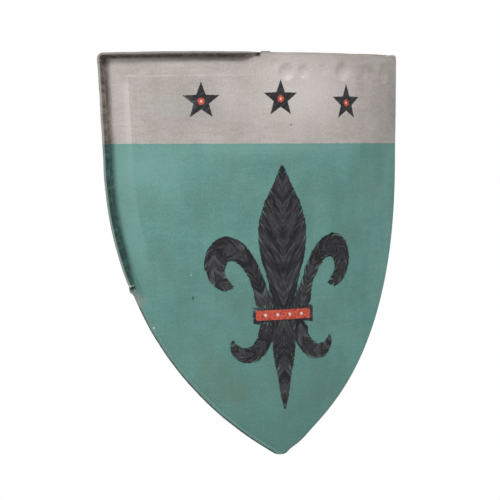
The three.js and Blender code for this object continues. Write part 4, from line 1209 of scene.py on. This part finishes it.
def ribbon(path, half, thick, round_off):
    """A strap or strip about a path [rise, height]: a rectangle with rounded edges, square to the
    path, carried along it. Gives its shape, and each point's place along and across."""
    normal = square_to(directions(path))
    angle = np.linspace(0, math.pi / 2, 4)
    out, up = round_off * np.sin(angle), round_off * np.cos(angle)
    flat = np.linspace(-1, 1, 9)[1:-1]
    width = np.broadcast_to(half, len(path))[:, None] - round_off
    across = np.concatenate([flat, np.ones(8)]) * width + np.concatenate([0 * flat, out, out[::-1]])
    rise = thick / 2 - round_off
    lift = np.concatenate([np.full(7, thick / 2), rise + up, -rise - up[::-1]])
    across, lift = np.hstack([across, -across]), np.concatenate([lift, -lift])
    points = np.stack([across, *(path[:, axis, None] + normal[:, axis, None] * lift for axis in (0, 1))], -1)
    return (points.reshape(-1, 3), tube_faces(*across.shape)), strap_places(run_along(path), across)


def band(loop, half_height, half_wall, round_off):
    """A closed band about a flat loop in X and Y: its section is a small rectangle with rounded
    edges, standing along Z."""
    angle = np.linspace(0, math.pi / 2, 4)
    x, z = half_wall - round_off, half_height - round_off
    quarter = np.stack([x + round_off * np.cos(angle), z + round_off * np.sin(angle)], -1)
    section = np.vstack([quarter, quarter[::-1] * [-1, 1], -quarter, quarter[::-1] * [1, -1]])
    flat = loop[:, None] + square_to(directions(loop, True))[:, None] * section[:, :1]
    height = np.broadcast_to(section[:, 1], flat.shape[:2])
    points = np.concatenate([flat, height[..., None]], -1).reshape(-1, 3)
    return (points, looped_faces(*height.shape)), strap_places(run_along(loop), height * 14.5 / 5)


def folded_end(bar, way, tail, side=1):
    """The folded end of a strap: from its tail, round the bar, to where it leaves along a way."""
    left = np.array([-way[1], way[0]]) * side
    half = (leather + seam) / 2
    round_path = rod + seat + leather / 2
    opening = math.atan2(half, fold_taper) + math.acos(round_path / math.hypot(half, fold_taper))
    angle = np.linspace(opening, 2 * math.pi - opening, 26)[:, None]
    arc = bar + round_path * (way * np.cos(angle) + left * np.sin(angle))
    straight = bar + way * np.linspace(tail, fold_taper, 8)[:, None] + left * half
    return np.vstack([straight, arc, [bar + way * fold_taper - left * half]])


def bezier(p0, p1, p2, p3, count):
    """Points at even lengths along a cubic curve."""
    t = np.linspace(0, 1, 400)[:, None]
    curve = (1 - t) ** 3 * p0 + 3 * (1 - t) ** 2 * t * p1 + 3 * (1 - t) * t ** 2 * p2 + t ** 3 * p3
    run = run_along(curve)
    even = np.linspace(0, run[-1], count)
    return np.column_stack([np.interp(even, run, curve[:, axis]) for axis in (0, 1)])


lean_way = math.radians(42)
up_out = np.array([math.sin(lean_way), math.cos(lean_way)])
down_out = up_out * [1, -1]


def strap_frame(bar, way, along, across=0.0):
    """A frame on a strap at a distance from its bar: Y out through the leather, away from the face,
    and Z back along the strap."""
    outer = np.array([way[1], -way[0]])
    outer = -outer if outer[0] < 0 else outer
    matrix = np.eye(4)
    matrix[:3, 1] = [0, *outer]
    matrix[:3, 2] = np.cross([1, 0, 0], matrix[:3, 1])
    matrix[:3, 3] = [across, *(bar + way * along)]
    return matrix


def strap_piece(name, place, path, half, stands_for, cutters=(), hole_runs=()):
    """A leather strap along a path, with cutters taken out of it. Its finish is told each point's
    place, and how near it is to a hole."""
    shape, strap_place = ribbon(path, half, leather, 0.8 * mm)
    for run in hole_runs:
        away = np.hypot(strap_place[:, 0] - run, strap_place[:, 1])
        strap_place[:, 2] = np.maximum(strap_place[:, 2], np.clip(1.4 - away / (5 * mm), 0, 1))
    piece = make_piece(name, placed(place, shape), strap_leather, stands_for=[stands_for])
    store(piece, "strap_place", strap_place)
    if cutters:
        cutter = mesh_object("cutter", *joined([placed(place @ matrix, shape) for matrix, shape in cutters]))
        step = piece.modifiers.new("holes", "BOOLEAN")
        step.operation, step.solver, step.object = "DIFFERENCE", "EXACT", cutter
        settle_mesh(piece)
        bpy.data.objects.remove(cutter)


def rivet_shapes(matrix):
    """A copper rivet through two thicknesses of strap: domed head outside, and inside a burr with
    the end of the shank spread over it."""
    shank, hole, burr_edge, head_edge = 1.5 * mm, 1.7 * mm, 4.6 * mm, 4.4 * mm
    outside = leather + seam / 2 + 0.2 * mm
    burr_face = -outside
    burr_back, end_face = burr_face - 1 * mm, burr_face - 1.2 * mm
    dome = np.linspace(0, math.pi / 2, 8)
    head = np.column_stack([4.6 * mm * np.cos(dome), outside + 1.7 * mm * np.sin(dome) ** 0.8])
    end = np.column_stack([2.6 * mm * np.sin(dome), end_face - 1 * mm * np.cos(dome)])
    profile = np.vstack([end, [(shank, end_face), (shank, outside), (head_edge, outside)], head])
    burr = [(hole, burr_back), (4.3 * mm, burr_back), (burr_edge, burr_face - 0.7 * mm), (burr_edge, burr_face),
            (hole, burr_face), (hole, burr_back)]
    return [placed(matrix, lathed(shape)) for shape in (profile, burr)]


def make_straps():
    """The hand grip, the tongue and the chape with its keeper, and all their rivets."""
    rivets, stands = [], []

    def rivet(name, place, matrix):
        """Adds a rivet with its burr, and notes the two CAD pieces that they stand for."""
        rivets.extend(rivet_shapes(place @ matrix))
        stands.extend([name + "_rivet", name + "_burr"])

    def rivet_pair(name, place, bar, way):
        """Two rivets side by side, at one distance from a bar."""
        for hand, spread in (("left", -rivet_spread), ("right", rivet_spread)):
            rivet(name + "_" + hand, place, strap_frame(bar, way, rivet_place, spread))

    # the hand grip: folded round both staples, bowed out between them
    place = fitting(grip_arc, 0)
    low, high = np.array([staple_rise, -grip_half]), np.array([staple_rise, grip_half])
    low_end, high_end = folded_end(low, up_out, fold_tail), folded_end(high, down_out, fold_tail, -1)[::-1]
    straight, bow = fold_tail - fold_taper, 28 * mm
    start, stop = low_end[-1] + up_out * straight, high_end[0] + down_out * straight
    hold = bezier(start, start + up_out * bow, stop + down_out * bow, stop, 40)
    strap_piece("grip_strap", place, np.vstack([low_end, hold, high_end]), strap_width / 2, "hand_grip")
    rivet_pair("grip_low", place, low, up_out)
    rivet_pair("grip_high", place, high, down_out)

    # the tongue: folded round the low staple, then bent over to hang with its row of holes
    place = fitting(arm_arc, 0)
    low, high = np.array([staple_rise, -arm_half]), np.array([staple_rise, arm_half])
    end = folded_end(low, up_out, fold_tail)
    start = end[-1] + up_out * straight
    hang_rise, hang_drop, hole_radius, punch_half = 84 * mm, 128 * mm, 2.2 * mm, 4 * mm
    tip = np.array([hang_rise, start[1] - hang_drop])
    bow = bezier(start, start + up_out * 72 * mm, tip + [0, 60 * mm], tip, 110)
    path = np.vstack([end, bow])
    run, bow_run, half_tip = run_along(path), run_along(bow), 4.5 * mm
    left = np.clip((run[-1] - run) / (20 * mm), 0, 1)
    pointed = half_tip + (strap_width / 2 - half_tip) * np.sqrt(np.clip(1 - (1 - left) ** 2.2, 0, 1))
    from_tip = [(32 + 18 * hole) * mm for hole in range(5)]
    punch = lathed([(0, -punch_half), (hole_radius, -punch_half), (hole_radius, punch_half), (0, punch_half)], 24)
    cutters = []
    for spot in np.searchsorted(bow_run, bow_run[-1] - np.array(from_tip)):
        way = bow[spot + 1] - bow[spot - 1]
        cutters.append((strap_frame(bow[spot], way / np.linalg.norm(way), 0), punch))
    hole_runs = [run[-1] - hole for hole in from_tip]
    strap_piece("tongue_strap", place, path, pointed, "arm_strap_tongue", cutters, hole_runs)
    rivet_pair("tongue", place, low, up_out)

    # the chape: doubled from the high staple to the buckle, with a slot that the prong swings in
    heel = high + down_out * chape_length
    tail = (chape_length - chape_gap) / 2
    path = np.vstack([folded_end(heel, -down_out, tail), folded_end(high, down_out, tail, -1)[::-1]])
    slot = rounded_frame(2.4 * mm, -15 * mm, 10 * mm, 2.3 * mm, 0, 7)
    slot_ends = [np.column_stack([slot[:, 0], np.full(len(slot), side * 8 * mm), -slot[:, 1]]) for side in (-1, 1)]
    cutter = (strap_frame(heel, down_out, 0), (np.vstack(slot_ends), tube_faces(2, len(slot))))
    strap_piece("chape_strap", place, path, strap_width / 2, "buckle_chape", [cutter])
    rivet("chape_staple", place, strap_frame(high, down_out, rivet_place))
    rivet("chape_buckle", place, strap_frame(high, down_out, chape_length - rivet_place))

    # the keeper round it, with room for the tongue
    half_wall = 0.9 * mm
    under, above = -(leather + seam / 2) - seat - half_wall, 2 * leather + seam / 2 + 1.4 * mm + half_wall
    loop = rounded_frame(strap_width / 2 + seat + half_wall, under, above, 1.3 * mm, 1.3 * mm, 6)
    shape, loop_place = band(loop, 5 * mm, half_wall, 0.5 * mm)
    keeper_place = place @ strap_frame(high, down_out, chape_length / 2)
    store(make_piece("keeper_loop", placed(keeper_place, shape), strap_leather, stands_for=["strap_keeper"]),
          "strap_place", loop_place)
    make_piece("copper_rivets", joined(rivets), copper, stands_for=stands)
    make_buckle(place, heel)


def make_buckle(place, heel):
    """The wire frame, the prong round its heel bar, and the roller on its front bar."""
    def buckle_piece(name, shape, body):
        """A piece that moves with the body of its own name in the CAD model, and stands for it."""
        make_piece(name, placed(place, shape), nickel, body, [body])

    corner = 3 * mm
    side = strap_width / 2 + 1.5 * mm + rod
    flat = rounded_frame(side, 0, -buckle_length, corner, corner, 8)
    loop = np.column_stack([flat[:, 0], np.full(len(flat), heel[0]), flat[:, 1] + heel[1]])
    buckle_piece("frame_wire", rod_along(loop, rod, closed=True), "buckle_frame")

    bore, half = rod + seat, side - corner - 2.5 * mm
    wall = bore + 0.9 * mm
    profile = [(bore, -half), (wall - 0.3 * mm, -half), (wall, -half + 0.4 * mm), (wall, half - 0.4 * mm),
               (wall - 0.3 * mm, half), (bore, half), (bore, -half)]
    points, faces = lathed(profile, axes=(2, 0, 1))
    buckle_piece("roller_tube", (points + [0, heel[0], heel[1] - buckle_length], faces), "buckle_roller")

    prong = 1.4 * mm
    eye, rest = bore + prong, wall + seat + prong
    angle = np.linspace(math.radians(250), 0, 28)
    reach = 1 + 3 * mm / buckle_length
    ring = eye * np.column_stack([np.cos(angle), np.sin(angle)])
    tip = np.array([eye + (rest - eye) * reach, -buckle_length * reach])
    shank = ring[-1] + (tip - ring[-1]) * np.linspace(0, 1, 16)[1:, None]
    line = np.vstack([ring, shank]) + heel
    radius = prong * np.concatenate([np.ones(len(ring)), np.linspace(1, 0.82, len(shank))])
    line = np.column_stack([np.zeros(len(line)), line])
    buckle_piece("prong_wire", rod_along(line, radius, sides=16), "buckle_prong")


def make_wires(edge, outward, height, lean, turned_back, whole, ahead):
    """The wire inside each half of the roll, through the middle of the rim's section."""
    out, up = roll_place(height, lean)[2].T
    up = np.where(turned_back, -sheet - up, up)
    middle = on_sheet(*(edge + outward * out[:, None]).T, up + ahead)
    for side, chosen in (("right", turned_back), ("left", ~turned_back)):
        spots = np.flatnonzero(chosen & (whole > 0.97))
        gap = np.flatnonzero(np.diff(spots) > 1)
        if len(gap):
            spots = np.roll(spots, -(gap[0] + 1))
        wire = rod_along(middle[spots], wire_radius, sides=8)
        make_piece("wire_core_" + side, wire, wire_steel, stands_for=["rim_wire_" + side])


# ---------------------------------------------------------------- the arm pad
channels = (-28 * mm, 0.0, 28 * mm)
stitch_length, stitch_pitch, stitch_radius, welt_radius = 4.6 * mm, 6.5 * mm, 0.42 * mm, 1.5 * mm


def pad_form(scale, rise_share, shrink=1.0):
    """A ring of the pad's form: a blunt oval, drawn in between its corners, at a share of its size
    and at a rise off the bent face."""
    angle = np.linspace(0, 2 * math.pi, 160, endpoint=False)
    along, high = (np.sign(value) * np.abs(value) ** 0.42 for value in (np.cos(angle), np.sin(angle)))
    x = along * (pad_long * shrink - 4 * mm * (1 - high ** 2)) * scale
    z = high * (pad_high * shrink - 4 * mm * (1 - along ** 2)) * scale
    return off_face(x, seat + rise_share * pad_thick, z)


def face_place(inverse, points):
    """Where points lie beside a fitting: their arc, their rise off the bent face and their height."""
    across, off, height = moved(inverse, points).T
    angle, radius = np.arctan2(across, inner_radius - off), np.hypot(across, inner_radius - off)
    return inner_radius * angle, inner_radius - radius, height


def blow_up(pad, rise):
    """Blows the cushion up by cloth simulation, held where it is glued to the sheet."""
    held = pad.vertex_groups.new(name="glued")
    held.add(np.flatnonzero(rise < 2.6 * mm).tolist(), 1.0, "REPLACE")
    cloth = pad.modifiers.new("blown", "CLOTH")
    leather_cloth = {"quality": 6, "mass": 0.3, "tension_stiffness": 25, "compression_stiffness": 25,
                     "bending_stiffness": 2, "use_pressure": True, "uniform_pressure_force": 5,
                     "vertex_group_mass": "glued"}
    for name, value in leather_cloth.items():
        setattr(cloth.settings, name, value)
    cloth.settings.effector_weights.gravity = 0
    cloth.collision_settings.use_collision = False
    for tick in range(1, 19):
        bpy.context.scene.frame_set(tick)
    settle_mesh(pad)
    bpy.context.scene.frame_set(1)


def make_pad():
    """The arm pad: a leather cushion blown up by cloth simulation, then sewn down in three rows."""
    shares = [(0.02, 0), (0.5, 0), (0.9, 0), (0.97, 0.04), (1, 0.18), (0.985, 0.42), (0.94, 0.62), (0.86, 0.76),
              (0.7, 0.84), (0.4, 0.87), (0.02, 0.88)]
    rings = np.array([pad_form(scale, rise, 0.985) for scale, rise in shares])
    place = fitting(pad_arc, 0)
    inverse = np.linalg.inv(place)
    shape = (moved(place, rings.reshape(-1, 3)), tube_faces(*rings.shape[:2]))
    pad = make_piece("arm_pad_cushion", shape, pad_leather, stands_for=["arm_pad"])
    bpy.context.view_layer.objects.active = pad
    remesh = pad.modifiers.new("even mesh", "REMESH")
    remesh.mode, remesh.voxel_size = "VOXEL", 3.5 * mm
    settle_mesh(pad)
    before = coordinates(pad)
    blow_up(pad, face_place(inverse, before)[1])
    shift = coordinates(pad) - before
    length = np.linalg.norm(shift, axis=1)
    after = before + shift * np.minimum(1, 5 * mm / np.maximum(length, 1e-9))[:, None]

    # sewn down along the channels, and hollowed a little where the arm lies
    arc, rise, height = face_place(inverse, after)
    top = soft_step(rise, 6 * mm, 11 * mm)
    ends = soft_step(np.abs(arc), pad_long - 6 * mm, pad_long - 20 * mm)
    groove = np.maximum.reduce([bell(height, level, 4.2 * mm) * ends for level in channels])
    dent = bell(arc, 0, 70 * mm) * bell(height, 0, 34 * mm)
    rise = rise - 4.6 * mm * groove * top - 1.2 * mm * dent * top
    rise = rise + 0.35 * mm * top * wander(arc, 21, 26 * mm) * wander(height, 22, 20 * mm)
    rise = np.clip(rise, seat, seat + pad_thick + 0.6 * mm)
    final = moved(place, off_face(arc, rise, height))
    pad.data.vertices.foreach_set("co", final.ravel())
    pad.data.polygons.foreach_set("use_smooth", np.ones(len(pad.data.polygons), bool))
    store(pad, "seam", np.clip(groove * top, 0, 1) ** 3)
    store(pad, "rubbed", np.clip(dent * top * 1.2, 0, 1))
    smooth = pad.modifiers.new("smooth", "SUBSURF")
    smooth.levels = smooth.render_levels = 1
    pad.data.update()

    surface = face_place(inverse, final)
    starts = np.arange(-pad_long + 14 * mm, pad_long - 14 * mm, stitch_pitch)
    stitches = [stitch(place, start, level, *surface) for level in channels for start in starts]
    make_piece("pad_stitches", joined(stitches), thread)
    welt = rod_along(moved(place, pad_form(1.005, 0.30)), welt_radius, sides=10, closed=True)
    make_piece("pad_welt", welt, pad_leather)


def stitch(place, start, level, arc, rise, height):
    """One stitch of thread lying in a sewn row: a thin rod that dips into the leather at its ends."""
    share = np.linspace(0, 1, 6)
    along = start + stitch_length * share
    near = (np.abs(height - level) < 3.5 * mm) & (rise > 5 * mm)
    order = np.argsort(arc[near])
    ground = np.interp(along, arc[near][order], np.convolve(rise[near][order], np.ones(9) / 9, "same"))
    lifted = ground + 0.35 * mm * np.sin(share * math.pi) - 0.1 * mm
    return rod_along(moved(place, off_face(along, lifted, level)), stitch_radius, sides=6)


make_wires(*make_sheet_piece(painted))
make_fittings()
make_straps()
make_pad()

# ---------------------------------------------------------------- camera, light and ground
def from_shield(azimuth, elevation, distance=1.0):
    """A place round the shield: azimuth 0 is straight in front, and less than 0 is to its left."""
    azimuth, elevation = math.radians(azimuth), math.radians(elevation)
    return Vector((distance * math.sin(azimuth) * math.cos(elevation),
                   -distance * math.cos(azimuth) * math.cos(elevation), distance * math.sin(elevation)))


def soft_lamp(name, place, size, power):
    """A round lamp that looks at the shield."""
    lamp = bpy.data.lights.new(name, "AREA")
    lamp.shape, lamp.size, lamp.energy = "DISK", size, power
    turn = place.to_track_quat("Z", "Y").to_matrix().to_4x4()
    add_object(name, lamp).matrix_world = Matrix.Translation(place) @ turn


view_azimuth, view_elevation, view_distance, view_roll = -22.37, 4.03, 2.462, math.radians(0.756)
back, right = from_shield(view_azimuth, view_elevation), from_shield(view_azimuth + 90, 0)
up = back.cross(right)
target = Vector((0, 0.020, -0.080)) - 0.0304 * right + 0.0094 * up
cos_roll, sin_roll = math.cos(view_roll), math.sin(view_roll)
camera_turn = Matrix((right * cos_roll - up * sin_roll, right * sin_roll + up * cos_roll, back)).transposed()
camera = add_object("camera", bpy.data.cameras.new("camera"))
camera.data.sensor_width, camera.data.lens = 36, 36 * 1605.8 / 500
camera.matrix_world = Matrix.Translation(target + back * view_distance) @ camera_turn.to_4x4()
scene = bpy.context.scene
scene.camera = camera
scene.view_settings.view_transform = "Standard"

soft_lamp("high lamp", from_shield(-10, 47, 2.4), 0.6, 33)
soft_lamp("left lamp", from_shield(-86, 24, 2.3), 0.5, 14)
soft_lamp("lamp behind", from_shield(165, 35, 2.4), 1.4, 34)

# the world: soft light, and white where the camera or a mirror-like surface looks straight at it
scene.world = bpy.data.worlds.new("studio")
scene.world.use_nodes = True
tree, white = scene.world.node_tree, (1, 1, 1, 1)
rays = [put(tree, "LightPath", take="Is %s Ray" % kind) for kind in ("Camera", "Glossy", "Transmission")]
lit, seen = (put(tree, "Background", {"Color": white, "Strength": strength}) for strength in (0.36, 1.0))
shown = put(tree, "MixShader", {0: most(rays[0], most(*rays[1:])), 1: lit, 2: seen})
fill(tree, tree.nodes["World Output"].inputs, {0: shown})

# the floor: pale, and partly white to the camera
floor_z, floor_radius = -0.75, 1.25
around = np.linspace(0, 2 * math.pi, 96, endpoint=False)
ring = np.column_stack([floor_radius * np.cos(around), floor_radius * np.sin(around), np.full(96, floor_z)])
floor = mesh_object("floor", ring, [np.arange(96)[None]])
pale, tree, shader = finish_of("pale floor")
fill(tree, shader, {"Base Color": (0.86, 0.86, 0.86, 1), "Roughness": 0.9})
lit = Wire(tree, tree.nodes["Principled BSDF"].outputs[0])
seen = put(tree, "Emission", {"Color": white, "Strength": 1.0})
shown = put(tree, "MixShader", {0: put(tree, "LightPath", take="Is Camera Ray") * 0.6, 1: lit, 2: seen})
fill(tree, tree.nodes["Material Output"].inputs, {0: shown})
floor.data.materials.append(pale)
